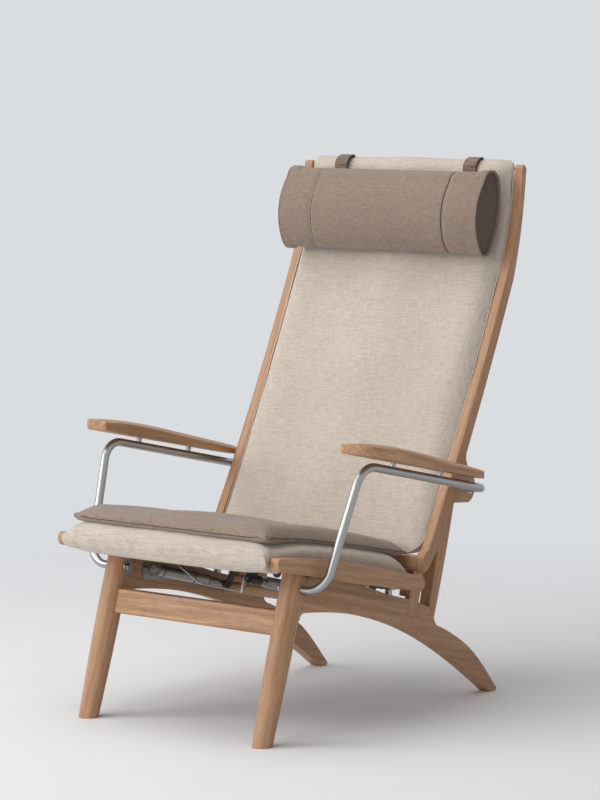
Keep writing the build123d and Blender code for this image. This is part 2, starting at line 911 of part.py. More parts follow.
# Carriages that run on the slide bars
inner_h = slide_t + 2 * side_gap
outer_w = slide_w + 2 * carriage_wall
flange_reach = rail_in_x - slide_x
carriage_front_y = carriage_y - carriage_len / 2
with BuildPart() as slide_carriage:
    face = Plane(
        origin=at(slide_x, carriage_front_y, on_slide(slide_front_y, slide_front_z, carriage_front_y)),
        x_dir=(-1, 0, 0),
        z_dir=(0, 1, -slide_slope),
    )
    with BuildSketch(face):
        Rectangle(outer_w, inner_h)
        with Locations((outer_w / 2, inner_h / 2)):
            Rectangle(flange_reach + outer_w / 2, carriage_wall, align=(Align.MAX, Align.MIN))
        with Locations((0, -inner_h / 2)):
            Rectangle(outer_w, carriage_lip_t, align=(Align.CENTER, Align.MAX))
        with Locations((-flange_reach, inner_h / 2 + carriage_wall)):
            Rectangle(carriage_flange_t, carriage_flange_h, align=(Align.MIN, Align.MAX))
        Rectangle(slide_w + 2 * side_gap, inner_h, mode=Mode.SUBTRACT)
        with Locations((0, -inner_h / 2)):
            lip_opening = slide_block_w + 2 * carriage_lip_t
            Rectangle(lip_opening, 4 * carriage_lip_t, mode=Mode.SUBTRACT)
    extrude(amount=carriage_len)
save_pair(slide_carriage, "slide_carriage")

# Angle strips under the seat that slide on the glides
with BuildPart() as glide_strips:
    strip_mid_y = (strip_front_y + strip_rear_y) / 2
    lift = (glide_t + side_gap) / cos(radians(slide_deg))
    strip_z = on_slide(leg_top_y, leg_top_z + lift, strip_mid_y)
    strip_len = (strip_rear_y - strip_front_y) / cos(radians(slide_deg))
    with BuildSketch(side_plane(strip_in_x)):
        with Locations((strip_mid_y, strip_z)):
            Rectangle(strip_len, strip_t, rotation=-slide_deg, align=(Align.CENTER, Align.MIN))
    extrude(amount=rail_in_x - strip_in_x)
    with BuildSketch(side_plane(rail_in_x - strip_t)):
        with Locations((strip_mid_y, strip_z)):
            Rectangle(
                strip_len, strip_flange_h, rotation=-slide_deg, align=(Align.CENTER, Align.MAX)
            )
    extrude(amount=strip_t)
    mirror(glide_strips.part, about=Plane.YZ)
save(glide_strips, "glide_strips")


def both_sides(half_w, shares):
    """Stations from the right edge over the middle to the left edge, with their fullness."""
    right = [(-half_w * a, full) for a, full in shares]
    return right + [(half_w * a, full) for a, full in reversed(shares[:-1])]


# Seat pad
pad_edge = above_pad_line(seat_front_y, pad_end_y, seat_edge_shares)
pad_full = above_pad_line(seat_front_y, pad_end_y, seat_crown_shares)
with BuildPart() as seat_pad:
    for x, full in both_sides(pad_half_w, seat_width_shares):
        p = mix(pad_edge, pad_full, full)
        with BuildSketch(side_plane(x)):
            with BuildLine():
                ThreePointArc((pad_toe_y, pad_toe_z), p[0], p[1])
                ThreePointArc(p[1], p[2], p[3])
                ThreePointArc(p[3], p[4], p[5])
                ThreePointArc(p[5], p[6], p[7])
                Polyline(p[7], (pad_end_y, pad_end_z), (pad_toe_y, pad_toe_z))
            make_face()
    loft()
    add(seat_front_rail.part, mode=Mode.SUBTRACT)
    add(seat_rear_rail.part, mode=Mode.SUBTRACT)
save(seat_pad, "seat_pad")

# Loose seat cushion, lying on the pad
half_seam = cushion_seam_t / 2
seam_line = above_pad_line(cushion_front_y, cushion_end_y, cushion_edge_shares)
full_top = above_pad_line(cushion_front_y, cushion_end_y, cushion_top_shares)
full_under = above_pad_line(cushion_front_y, cushion_end_y, cushion_under_shares)
with BuildPart() as seat_cushion:
    for x, full in both_sides(cushion_half_w, cushion_width_shares):
        t = [(y, z + half_seam) for y, z in mix(seam_line, full_top, full)]
        u = [(y, z - half_seam) for y, z in mix(seam_line, full_under, full)]
        with BuildSketch(side_plane(x)):
            with BuildLine():
                Line(u[0], t[0])
                ThreePointArc(t[0], t[1], t[2])
                ThreePointArc(t[2], t[3], t[4])
                ThreePointArc(t[4], t[5], t[6])
                Line(t[6], u[6])
                ThreePointArc(u[6], u[5], u[4])
                ThreePointArc(u[4], u[3], u[2])
                ThreePointArc(u[2], u[1], u[0])
            make_face()
    loft()
    add(seat_pad.part, mode=Mode.SUBTRACT)
save(seat_cushion, "seat_cushion")

# Back stiles with their pivot lugs
lug_top = (arc_y(rear_low, lug_high_z), lug_high_z)
lug_under = (arc_y(rear_low, lug_low_z), lug_low_z)
lug = [(pivot_y + a * lug_reach, pivot_z + b * lug_drop) for a, b in lug_shares]
with BuildPart() as back_stile:
    with BuildSketch(side_plane(stile_in_x)):
        with BuildLine():
            foot_top = (foot_front_y, foot_high_z)
            cap_y = (face_top_y + back_rear_y) / 2
            Line((foot_front_y, foot_low_z), foot_top)
            ThreePointArc(
                foot_top,
                (foot_front_y + stile_round, (foot_high_z + face_low_z) / 2),
                face_low[0],
            )
            ThreePointArc(*face_low)
            ThreePointArc(*face_high)
            ThreePointArc(
                face_high[2],
                (face_top_y + stile_round / 2, stile_top_z - stile_round / 2),
                (cap_y, stile_top_z),
            )
            ThreePointArc(
                (cap_y, stile_top_z),
                (back_rear_y - stile_round / 4, stile_top_z - stile_round),
                rear_high[2],
            )
            ThreePointArc(*reversed(rear_high))
            half_z = (rear_low[2][1] + lug_high_z) / 2
            ThreePointArc(rear_low[2], (arc_y(rear_low, half_z), half_z), lug_top)
            Spline(lug_top, *lug[:3])
            ThreePointArc(*lug[2:])
            Line(lug[4], lug_under)
            half_z = (lug_low_z + face_low_z) / 2
            ThreePointArc(lug_under, (arc_y(rear_low, half_z), half_z), rear_low[0])
            Line(rear_low[0], (foot_rear_y, foot_rear_z))
            Line((foot_rear_y, foot_rear_z), (foot_front_y, foot_low_z))
        make_face()
    extrude(amount=stile_out_x - stile_in_x)
    with Locations(Location(at(stile_in_x, pivot_y, pivot_z), (0, 90, 0))):
        Cylinder(tube_r + bush_wall, 4 * board_t, mode=Mode.SUBTRACT)
save_pair(back_stile, "back_stile")

# Pivot bushes in the stiles, and the spacers and collars fixed on the tubes
with BuildPart() as pivot_bushes:
    with BuildSketch(side_plane(stile_in_x).shift_origin(at(stile_in_x, pivot_y, pivot_z))):
        Circle(tube_r + bush_wall)
        Circle(tube_r + running_gap, mode=Mode.SUBTRACT)
    extrude(amount=stile_out_x - stile_in_x)
    with BuildSketch(side_plane(stile_out_x).shift_origin(at(stile_out_x, pivot_y, pivot_z))):
        Circle(bush_flange_r)
        Circle(tube_r + running_gap, mode=Mode.SUBTRACT)
    extrude(amount=bush_flange_t)
    mirror(pivot_bushes.part, about=Plane.YZ)
save(pivot_bushes, "pivot_bushes")

with BuildPart() as pivot_spacers:
    collar_x = stile_out_x + bush_flange_t + side_gap
    for start, width in (
        (board_out_x, stile_in_x - side_gap - board_out_x),
        (collar_x, washer_t),
    ):
        with BuildSketch(side_plane(start).shift_origin(at(start, pivot_y, pivot_z))):
            Circle(bush_flange_r)
            Circle(tube_r, mode=Mode.SUBTRACT)
        extrude(amount=width)
    mirror(pivot_spacers.part, about=Plane.YZ)
save(pivot_spacers, "pivot_spacers")


def leaning_rail(z, line, thick, height):
    """A rail between the stiles, flush near their rear edge and leaning with it."""
    low_y, high_y = arc_y(line, z - height / 2), arc_y(line, z + height / 2)
    lean = (high_y - low_y) / height
    with BuildPart() as rail:
        face = Plane(
            origin=at(-stile_in_x, (low_y + high_y) / 2, z),
            x_dir=(0, 1, -lean),
            z_dir=(1, 0, 0),
        )
        with BuildSketch(face):
            Rectangle(thick, height, align=(Align.MAX, Align.CENTER))
        extrude(amount=2 * stile_in_x)
    return rail


back_top_rail = leaning_rail(top_rail_z, rear_high, top_rail_t, top_rail_h)
save(back_top_rail, "back_top_rail")
back_lumbar_rail = leaning_rail(lumbar_rail_z, rear_low, lumbar_rail_t, lumbar_rail_h)
save(back_lumbar_rail, "back_lumbar_rail")

with BuildPart() as back_low_rail:
    with BuildSketch(side_plane(-stile_in_x)):
        with Locations((low_rail_y, low_rail_low_z)):
            Rectangle(low_rail_t, low_rail_h, align=(Align.CENTER, Align.MIN))
    extrude(amount=2 * stile_in_x)
    fillet(back_low_rail.edges().filter_by(Axis.X), stile_round / 2)
save(back_low_rail, "back_low_rail")


# Back pad
def pushed(points, amounts, line):
    """Points moved square off a line, forwards and up, by the given amounts."""
    dy, dz = line[2][0] - line[0][0], line[2][1] - line[0][1]
    reach = hypot(dy, dz)
    return [(y - a * dz / reach, z + a * dy / reach) for (y, z), a in zip(points, amounts)]


pad_face = [(back_low_y, back_low_z), face_low[1], face_low[2], face_high[1], face_high[2]]
back_edge_crest = (back_edge_crest_y, back_edge_crest_z)
back_crest = (back_crest_y, back_crest_z)
pad_rear_top = (back_rear_y - back_rear_inset, stile_rear_top_z)
pad_brow = [
    (face_top_y + stile_round / 4, (face_top_z + back_edge_crest_z) / 2),
    back_edge_crest,
    (pad_rear_top[0] - stile_round / 8, (stile_rear_top_z + back_edge_crest_z) / 2),
]
back_edge = pad_face + pad_brow
full_low = pushed(pad_face[:2], [back_low_crown, back_crown], face_low)
bend_below = pushed([pad_face[2]], [back_crown], face_low)
bend_above = pushed([pad_face[2]], [back_crown], face_high)
full_mid = mix(bend_below, bend_above, 0.5)
full_high = pushed(pad_face[3:], [back_crown, back_crown], face_high)
full_brow = [
    between(full_high[1], back_crest, back_brow_shares[:1])[0],
    back_crest,
    between(back_crest, pad_rear_top, back_brow_shares[1:])[0],
]
back_full = full_low + full_mid + full_high + full_brow
rear_line = [(y - back_rear_inset, z) for y, z in rear_high[::-1] + rear_low[1::-1]]


def back_section(full, rear):
    """Outline of the back pad's section with its given fullness, as a closed wire."""
    p = mix(back_edge, back_full, full)
    ThreePointArc(p[0], p[1], p[2])
    ThreePointArc(p[2], p[3], p[4])
    ThreePointArc(p[4], p[5], p[6])
    ThreePointArc(p[6], p[7], rear[0])
    ThreePointArc(rear[0], rear[1], rear[2])
    ThreePointArc(rear[2], rear[3], rear[4])
    Line(rear[4], p[0])


with BuildPart() as back_pad:
    for x, full in both_sides(back_half_w, back_width_shares):
        with BuildSketch(side_plane(x)):
            with BuildLine():
                back_section(full, rear_line)
            make_face()
    loft()
    add(back_top_rail.part, mode=Mode.SUBTRACT)
    add(back_lumbar_rail.part, mode=Mode.SUBTRACT)
    add(back_low_rail.part, mode=Mode.SUBTRACT)
save(back_pad, "back_pad")

# Drive: pins on cheeks at the seat's rear rail, in slotted brackets on the back's low rail
def rear_rail_face(x, side):
    """Plane on the seat's rear rail, on its front (-1) or rear (1) face, facing outwards."""
    reach = side * seat_rear_rail_w / 2
    y = seat_rear_rail_y + reach * cos(radians(slide_deg))
    z = seat_rear_rail_z - reach * sin(radians(slide_deg))
    return Plane(origin=at(x, y, z), x_dir=(1, 0, 0), z_dir=(0, side, -side * slide_slope))


def rear_rail_edges(side):
    """Upper and lower end of that face, seen from the side."""
    reach = side * seat_rear_rail_w / 2
    half = seat_rear_rail_h / 2
    y = seat_rear_rail_y + reach * cos(radians(slide_deg))
    z = seat_rear_rail_z - reach * sin(radians(slide_deg))
    dy, dz = half * sin(radians(slide_deg)), half * cos(radians(slide_deg))
    return (y + dy, z + dz), (y - dy, z - dz)


cheek_out_x = drive_x - drive_plate_t / 2 - cheek_gap
cheek_in_x = cheek_out_x - cheek_t
drive_pin = (drive_pin_y, drive_pin_z)
with BuildPart() as drive_cheeks:
    with BuildSketch(side_plane(cheek_in_x)):
        with BuildLine():
            CenterArc(drive_pin, cheek_r, 0, 360)
            Line(*rear_rail_edges(1))
        make_hull()
        with Locations(drive_pin):
            Circle(drive_pin_r, mode=Mode.SUBTRACT)
    extrude(amount=cheek_t)
    with BuildSketch(rear_rail_face(cheek_in_x, 1)):
        Rectangle(spring_flange_w, seat_rear_rail_h, align=(Align.MAX, Align.CENTER))
    extrude(amount=plate_t)
    mirror(drive_cheeks.part, about=Plane.YZ)
save(drive_cheeks, "drive_cheeks")

with BuildPart() as drive_pins:
    pin_end_x = drive_x + drive_plate_t / 2 + side_gap
    for start, length, r in (
        (cheek_in_x, pin_end_x - cheek_in_x, drive_pin_r),
        (pin_end_x, pin_head_t, pin_head_r),
    ):
        with BuildSketch(side_plane(start)):
            with Locations(drive_pin):
                Circle(r)
        extrude(amount=length)
    mirror(drive_pins.part, about=Plane.YZ)
save(drive_pins, "drive_pins")

slot_end = reclined(drive_pin_y - seat_forward, drive_pin_z + seat_lift, -recline_deg)
slot_r = drive_pin_r + drive_pin_gap
low_rail_back_y = low_rail_y + low_rail_t / 2
with BuildPart() as drive_brackets:
    low = low_rail_low_z + stile_round / 2
    high = low_rail_low_z + low_rail_h - stile_round / 2
    with BuildSketch(side_plane(drive_x - drive_plate_t / 2)):
        with BuildLine():
            CenterArc(drive_pin, slot_r + drive_wall, 0, 360)
            CenterArc(slot_end, slot_r + drive_wall, 0, 360)
            Line((low_rail_back_y, low), (low_rail_back_y, high))
        make_hull()
        SlotCenterPoint(
            center=mix([drive_pin], [slot_end], 0.5)[0],
            point=slot_end,
            height=2 * slot_r,
            mode=Mode.SUBTRACT,
        )
    extrude(amount=drive_plate_t)
    face = Plane(origin=at(drive_x, low_rail_back_y, low), x_dir=(-1, 0, 0), z_dir=(0, 1, 0))
    with BuildSketch(face):
        Rectangle(bracket_flange_w, high - low, align=(Align.CENTER, Align.MIN))
    extrude(amount=bracket_flange_t)
    add(back_low_rail.part, mode=Mode.SUBTRACT)
    mirror(drive_brackets.part, about=Plane.YZ)
save(drive_brackets, "drive_brackets")


# Return spring
def down_slide(x, y, z, distance):
    """A plane square to the slides, the given distance down them from a point."""
    drop = distance * sin(radians(slide_deg))
    origin = at(x, y + distance * cos(radians(slide_deg)), z - drop)
    return Plane(origin=origin, x_dir=(1, 0, 0), z_dir=(0, 1, -slide_slope))


with BuildPart() as spring_bracket:
    with BuildSketch(side_plane(-board_in_x)):
        with BuildLine():
            Polyline(*between(plate_start, plate_end, plate_shares), close=True)
        make_face()
        with Locations(*plate_screws):
            Circle(screw_shank_r, mode=Mode.SUBTRACT)
    extrude(amount=plate_t)
    with BuildSketch(side_plane(-board_in_x)):
        with Locations((spring_y, spring_z)):
            Circle(spring_pin_r)
    extrude(amount=board_in_x - spring_x + spring_eye_t)
save(spring_bracket, "spring_bracket")

with BuildPart() as bracket_screws:
    for y, z in plate_screws:
        with Locations(Location(at(plate_t - board_in_x, y, z), (0, 90, 0))):
            Cylinder(plate_screw_r, plate_screw_t, align=(Align.CENTER, Align.CENTER, Align.MIN))
        with Locations(Location(at(plate_t - board_in_x, y, z), (0, -90, 0))):
            Cylinder(
                screw_shank_r, screw_len + plate_t, align=(Align.CENTER, Align.CENTER, Align.MIN)
            )
save(bracket_screws, "bracket_screws")

with BuildPart() as spring_cylinder:
    with BuildSketch(down_slide(-spring_x, spring_y, spring_z, spring_body_start)):
        Circle(spring_r)
    extrude(amount=spring_body_len)
    with BuildSketch(down_slide(-spring_x, spring_y, spring_z, 0)):
        Rectangle(spring_eye_t, spring_eye_t)
    extrude(amount=spring_body_start)
    with Locations(Location(at(-spring_x, spring_y, spring_z), (0, 90, 0))):
        Cylinder(spring_eye_r, spring_eye_t)
        Cylinder(spring_pin_r, 2 * spring_r, mode=Mode.SUBTRACT)
    spring_end = spring_body_start + spring_body_len
    with BuildSketch(down_slide(-spring_x, spring_y, spring_z, spring_end)):
        Circle(spring_rod_r + running_gap)
    extrude(amount=-spring_bore_len, mode=Mode.SUBTRACT)
save(spring_cylinder, "spring_cylinder")

rod_eye_reach = (rod_eye_y - spring_y) / cos(radians(slide_deg))
rod_eye_z = on_slide(spring_y, spring_z, rod_eye_y)
with BuildPart() as spring_rod:
    with BuildSketch(down_slide(-spring_x, spring_y, spring_z, spring_end - spring_rod_in)):
        Circle(spring_rod_r)
    extrude(amount=rod_eye_reach - spring_end + spring_rod_in - 2 * rod_eye_r)
    with BuildSketch(down_slide(-spring_x, spring_y, spring_z, rod_eye_reach - 2 * rod_eye_r)):
        Circle(spring_neck_r)
    extrude(amount=rod_eye_r * 1.5)
    with Locations(Location(at(-spring_x, rod_eye_y, rod_eye_z), (0, 90, 0))):
        Cylinder(rod_eye_r, 2 * rod_eye_r)
        Cylinder(spring_pin_r, 4 * spring_r, mode=Mode.SUBTRACT)
save(spring_rod, "spring_rod")

with BuildPart() as spring_hanger:
    with BuildSketch(side_plane(-spring_plate_x - plate_t)):
        with BuildLine():
            CenterArc((rod_eye_y, rod_eye_z), spring_plate_r, 0, 360)
            Line(*rear_rail_edges(-1))
        make_hull()
    extrude(amount=plate_t)
    with BuildSketch(side_plane(-spring_x - rod_eye_r)):
        with Locations((rod_eye_y, rod_eye_z)):
            Circle(spring_pin_r)
    extrude(amount=spring_x + rod_eye_r - spring_plate_x)
    with BuildSketch(rear_rail_face(-spring_plate_x, -1)):
        Rectangle(spring_flange_w, seat_rear_rail_h - plate_t, align=(Align.MIN, Align.CENTER))
    extrude(amount=plate_t)
    add(seat_pad.part, mode=Mode.SUBTRACT)
save(spring_hanger, "spring_hanger")

# Lock strut: tube on the base, rod and head on the seat
def lock_distance(y):
    """Distance down the strut's line from its named point to a given y."""
    return (y - lock_y) / cos(radians(slide_deg))


eye_z = on_slide(lock_y, lock_z, lock_eye_y)
tube_start, tube_end = lock_distance(lock_tube_front_y), lock_distance(lock_tube_rear_y)
with BuildPart() as lock_tube:
    with BuildSketch(down_slide(0, lock_y, lock_z, tube_start)):
        Circle(lock_tube_r)
    extrude(amount=tube_end - tube_start)
    with BuildSketch(down_slide(0, lock_y, lock_z, tube_start + lock_wall)):
        Circle(lock_tube_r - lock_wall)
    extrude(amount=tube_end - tube_start - 2 * lock_wall, mode=Mode.SUBTRACT)
    with BuildSketch(down_slide(0, lock_y, lock_z, tube_start)):
        Circle(lock_rod_r + running_gap)
    extrude(amount=lock_wall, mode=Mode.SUBTRACT)
    with BuildSketch(down_slide(0, lock_y, lock_z, tube_end)):
        Rectangle(lock_eye_t, lock_eye_t)
    extrude(amount=lock_distance(lock_eye_y) - tube_end)
    with Locations(Location(at(0, lock_eye_y, eye_z), (0, 90, 0))):
        Cylinder(lock_eye_r, lock_eye_t)
        Cylinder(lock_pin_r, 2 * lock_eye_t, mode=Mode.SUBTRACT)
save(lock_tube, "lock_tube")

mid_rail_face_y = mid_rail_y - mid_rail_w / 2
clevis_in_x = lock_eye_t / 2
with BuildPart() as lock_bracket:
    low, high = mid_rail_low_z + cross_round, mid_rail_low_z + mid_rail_h - cross_round
    with BuildSketch(side_plane(clevis_in_x)):
        with BuildLine():
            CenterArc((lock_eye_y, eye_z), lock_eye_r, 0, 360)
            Line((mid_rail_face_y, low), (mid_rail_face_y, high))
        make_hull()
    extrude(amount=lock_clevis_t)
    mirror(lock_bracket.part, about=Plane.YZ)
    face = Plane(origin=at(0, mid_rail_face_y, low), x_dir=(1, 0, 0), z_dir=(0, -1, 0))
    with BuildSketch(face):
        Rectangle(lock_clevis_w, high - low, align=(Align.CENTER, Align.MIN))
    extrude(amount=lock_clevis_t)
    with Locations(Location(at(0, lock_eye_y, eye_z), (0, 90, 0))):
        Cylinder(lock_pin_r, lock_eye_t + 2 * lock_clevis_t)
    add(lock_tube.part, mode=Mode.SUBTRACT)
save(lock_bracket, "lock_bracket")

rod_front = lock_distance(lock_head_rear_y) - lock_head_r
rod_rear = tube_start + lock_rod_in
with BuildPart() as lock_rod:
    with BuildSketch(down_slide(0, lock_y, lock_z, rod_front)):
        Circle(lock_rod_r)
    extrude(amount=rod_rear - rod_front)
    with BuildSketch(down_slide(0, lock_y, lock_z, rod_rear)):
        Circle(lock_tube_r - lock_wall - running_gap)
    extrude(amount=lock_piston_t)
save(lock_rod, "lock_rod")

with BuildPart() as lock_head:
    head_start = lock_distance(lock_head_front_y)
    with BuildSketch(down_slide(0, lock_y, lock_z, head_start)):
        Circle(lock_head_r)
    extrude(amount=lock_distance(lock_head_rear_y) - head_start)
    with BuildSketch(side_plane(-lock_hanger_w / 2)):
        with Locations((crossbar_y, crossbar_z - crossbar_t / 2)):
            Rectangle(
                lock_hanger_len,
                crossbar_z - on_slide(lock_y, lock_z, crossbar_y),
                rotation=-slide_deg,
                align=(Align.CENTER, Align.MAX),
            )
    extrude(amount=lock_hanger_w)
    for start in (release_arm_t / 2 + side_gap, -release_arm_t / 2 - side_gap - lock_clevis_t):
        with BuildSketch(side_plane(start)):
            with Locations((release_y, release_z)):
                Circle(release_arm_r)
                Rectangle(
                    lock_head_front_y - release_y + lock_head_r,
                    2 * release_arm_r,
                    rotation=-slide_deg,
                    align=(Align.MIN, Align.CENTER),
                )
        extrude(amount=lock_clevis_t)
    with Locations(Location(at(0, release_y, release_z), (0, 90, 0))):
        Cylinder(release_pin_r, 4 * lock_head_r, mode=Mode.SUBTRACT)
    add(seat_crossbar.part, mode=Mode.SUBTRACT)
    add(lock_rod.part, mode=Mode.SUBTRACT)
save(lock_head, "lock_head")

# Release lever of the lock strut, with its pin
with BuildPart() as release_arm:
    tip_y = release_y - release_arm_len * sin(radians(release_deg))
    tip_z = release_z - release_arm_len * cos(radians(release_deg))
    with BuildSketch(side_plane(-release_arm_t / 2)):
        with BuildLine():
            CenterArc((release_y, release_z), release_arm_r, 0, 360)
            CenterArc((tip_y, tip_z), release_arm_r / 2, 0, 360)
        make_hull()
    extrude(amount=release_arm_t)
    with Locations(Location(at(0, release_y, release_z), (0, 90, 0))):
        Cylinder(release_pin_r - running_gap, release_arm_t + 2 * (side_gap + lock_clevis_t))
save(release_arm, "release_arm")

# Release handle on the outside of the right seat rail, with its crank inside
handle_in_x = -rail_in_x + side_gap
with BuildPart() as release_handle:
    with BuildSketch(side_plane(-rail_out_x - side_gap - handle_t)):
        with Locations((handle_y - (handle_len - handle_w) / 2, handle_z)):
            SlotOverall(handle_len, handle_w)
    extrude(amount=handle_t)
    with BuildSketch(side_plane(-rail_out_x - side_gap - handle_t)):
        with Locations((handle_y, handle_z)):
            Circle(handle_shaft_r)
    extrude(amount=handle_t + side_gap + rail_out_x + handle_in_x + handle_arm_t)
save(release_handle, "release_handle")

with BuildPart() as release_crank:
    with BuildSketch(side_plane(handle_in_x)):
        with Locations((handle_y, handle_z)):
            Circle(handle_hub_r)
            Rectangle(handle_arm_w, handle_arm_len, align=(Align.CENTER, Align.MAX))
        with Locations((handle_y, handle_z - handle_arm_len)):
            Circle(handle_arm_w / 2)
        with Locations((handle_y, handle_z)):
            Circle(handle_shaft_r, mode=Mode.SUBTRACT)
    extrude(amount=handle_arm_t)
save(release_crank, "release_crank")

# Release cable
with BuildPart() as release_cable:
    with BuildLine() as cable_line:
        FilletPolyline(*[at(*p) for p in cable_route], radius=cable_bend)
    with BuildSketch(Plane(origin=cable_line.line @ 0, z_dir=cable_line.line % 0)):
        Circle(cable_r)
    sweep()
save(release_cable, "release_cable")

# Headrest straps over the top of the back
with BuildPart() as headrest_strap:
    with BuildSketch(side_plane(strap_x - strap_w / 2)):
        with BuildLine():
            back_section(strap_share, [(y, z) for y, z in rear_high[::-1] + rear_low[1::-1]])
        whole = make_face()
        offset(amount=strap_t)
        add(whole, mode=Mode.SUBTRACT)
        Polygon(
            (back_low_y - overrun, strap_low_z),
            (face_high_y + strap_t, strap_low_z),
            (face_high_y + strap_t, strap_end_z),
            (back_rear_y + overrun, strap_end_z),
            (back_rear_y + overrun, 0),
            (back_low_y - overrun, 0),
            align=None,
            mode=Mode.SUBTRACT,
        )
    extrude(amount=strap_w)
    add(back_pad.part, mode=Mode.SUBTRACT)
    add(back_top_rail.part, mode=Mode.SUBTRACT)
save_pair(headrest_strap, "headrest_strap")

# Headrest pillow
pillow_start = (pillow_front_y, pillow_low_z)
pillow_end = (pillow_front_y + pillow_depth, pillow_top_z)
pillow_outline = between(pillow_start, pillow_end, pillow_shares)
pillow_mid = mix([pillow_start], [pillow_end], 0.5) * len(pillow_outline)
end_outline = mix(pillow_mid, pillow_outline, pillow_end_share)
side_x = pillow_half_w - pillow_edge_r
with BuildPart() as headrest_pillow:
    for x, p in (
        (-pillow_half_w, end_outline),
        (-side_x, pillow_outline),
        (side_x, pillow_outline),
        (pillow_half_w, end_outline),
    ):
        with BuildSketch(side_plane(x)):
            with BuildLine():
                ThreePointArc(p[0], p[1], p[2])
                ThreePointArc(p[2], p[3], p[4])
                ThreePointArc(p[4], p[5], p[6])
                ThreePointArc(p[6], p[7], p[0])
            make_face()
    loft(ruled=True)
save(headrest_pillow, "headrest_pillow")

# Counterweight of the headrest, behind the back
weight_low_y = arc_y(rear_low, weight_z - weight_h / 2)
weight_high_y = arc_y(rear_low, weight_z + weight_h / 2)
with BuildPart() as headrest_counterweight:
    lean = (weight_high_y - weight_low_y) / weight_h
    face = Plane(
        origin=at(0, arc_y(rear_low, weight_z), weight_z),
        x_dir=(-1, 0, 0),
        z_dir=(0, 1, -lean),
    )
    with BuildSketch(face.offset(strap_t + side_gap)):
        Rectangle(2 * weight_half_w, weight_h)
    extrude(amount=weight_t)
    fillet(headrest_counterweight.edges(), pillow_edge_r)
save(headrest_counterweight, "headrest_counterweight")

# The places and distances that the joints turn and slide by
slope = (weight_high_y - weight_low_y) / weight_h
print(f"seat travel {seat_travel:.3f} mm at {slide_deg} degrees")
print(f"pivot at y {pivot_y - mid_y:.2f}, z {pivot_z}; counterweight slides {slope:.4f} per unit of height")
print(f"cable {cable_line.wires()[0].length:.0f} mm, bends of {cable_bend} mm")
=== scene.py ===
"""Looks of a reclining easy chair: oiled oak frame, satin steel arms, woven upholstery."""

import json
import math

import bpy
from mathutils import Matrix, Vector

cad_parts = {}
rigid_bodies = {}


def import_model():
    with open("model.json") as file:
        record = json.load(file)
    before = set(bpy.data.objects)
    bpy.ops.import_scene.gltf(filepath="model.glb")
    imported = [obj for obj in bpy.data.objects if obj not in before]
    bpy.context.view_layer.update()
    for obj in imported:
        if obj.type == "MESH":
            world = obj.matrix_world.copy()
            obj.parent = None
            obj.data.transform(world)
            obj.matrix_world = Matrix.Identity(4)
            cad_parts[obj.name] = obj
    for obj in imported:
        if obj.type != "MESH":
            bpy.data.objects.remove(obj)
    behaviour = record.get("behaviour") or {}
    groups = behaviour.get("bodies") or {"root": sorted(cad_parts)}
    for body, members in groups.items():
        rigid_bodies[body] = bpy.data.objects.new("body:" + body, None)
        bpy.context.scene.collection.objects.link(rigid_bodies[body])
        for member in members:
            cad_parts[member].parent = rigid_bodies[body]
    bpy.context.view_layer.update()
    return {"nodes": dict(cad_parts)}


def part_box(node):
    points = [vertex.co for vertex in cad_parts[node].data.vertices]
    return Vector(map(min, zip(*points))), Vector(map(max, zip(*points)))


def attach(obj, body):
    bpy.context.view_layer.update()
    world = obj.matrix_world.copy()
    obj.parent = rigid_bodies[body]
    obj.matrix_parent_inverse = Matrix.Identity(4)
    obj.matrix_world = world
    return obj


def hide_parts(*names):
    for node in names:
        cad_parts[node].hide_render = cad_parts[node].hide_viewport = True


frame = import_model()
scene = bpy.context.scene

MM = 0.001

# Camera: its place, what it looks at, and its lens on a 36 mm high sensor
CAMERA_AT = (3.8901, -4.7108, 1.2179)
LOOKS_AT = (-0.0062, 0.0293, 0.5847)
LENS = 144.79
SENSOR = 36

# Threads and the length over which a thread keeps its thickness and colour
BEIGE_THREAD = 1.7 * MM
TAUPE_THREAD = 1.2 * MM
BEIGE_SLUB = 22 * MM
TAUPE_SLUB = 12 * MM
THREAD_DEPTH = 0.4 * MM
CLOUDS = (9, 9, 9)

# Patterns of the wood in repeats per metre, along the grain and then across it. The pores of
# oak are about 0.3 mm across, too fine to show, so they are drawn three times as wide.
FIGURE = (6, 1 / (9 * MM), 1 / (9 * MM))
RINGS = (2.2, 24, 24)
PORES = (38, 1 / (0.9 * MM), 1 / (0.9 * MM))
PORE_DEPTH = 0.3 * MM

# Brushed lines of 0.25 mm are drawn three times as wide for the same reason
BRUSHING = (1 / (0.75 * MM), 20, 20)
COAT_GRAIN = (1 / (0.8 * MM),) * 3
FINE_DEPTH = 0.1 * MM

# Directions that grain and cloth follow
ACROSS = (1, 0, 0)
ALONG = (0, 1, 0)
UPRIGHT = (0, 0, 1)
SEAT_WAY = (0, 1, -0.16)
BACK_WAY = (0, 0.41, 0.91)

# Angles in radians: faces that merge, edges that get rounded, and faces that shade as one
MERGE_ANGLE = 0.01
EDGE_ANGLE = 0.7
SMOOTH_ANGLE = 0.6


# Materials
def linear(code):
    """An sRGB hex colour as linear values."""
    parts = [int(code[i : i + 2], 16) / 255 for i in (1, 3, 5)]
    return tuple(
        [c / 12.92 if c <= 0.04045 else ((c + 0.055) / 1.055) ** 2.4 for c in parts] + [1.0]
    )


def add(tree, kind, links=None, stops=(), **settings):
    """Adds a node, sets its options and a ramp's stops, and fills its inputs or links them."""
    item = tree.nodes.new(kind)
    for key, value in settings.items():
        setattr(item, key, value)
    for index, (place, code) in enumerate(stops):
        marks = item.color_ramp.elements
        mark = marks[index] if index < 2 else marks.new(place)
        mark.position = place
        mark.color = linear(code)
    for key, value in (links or {}).items():
        if isinstance(value, bpy.types.NodeSocket):
            tree.links.new(value, item.inputs[key])
        else:
            item.inputs[key].default_value = value
    return item


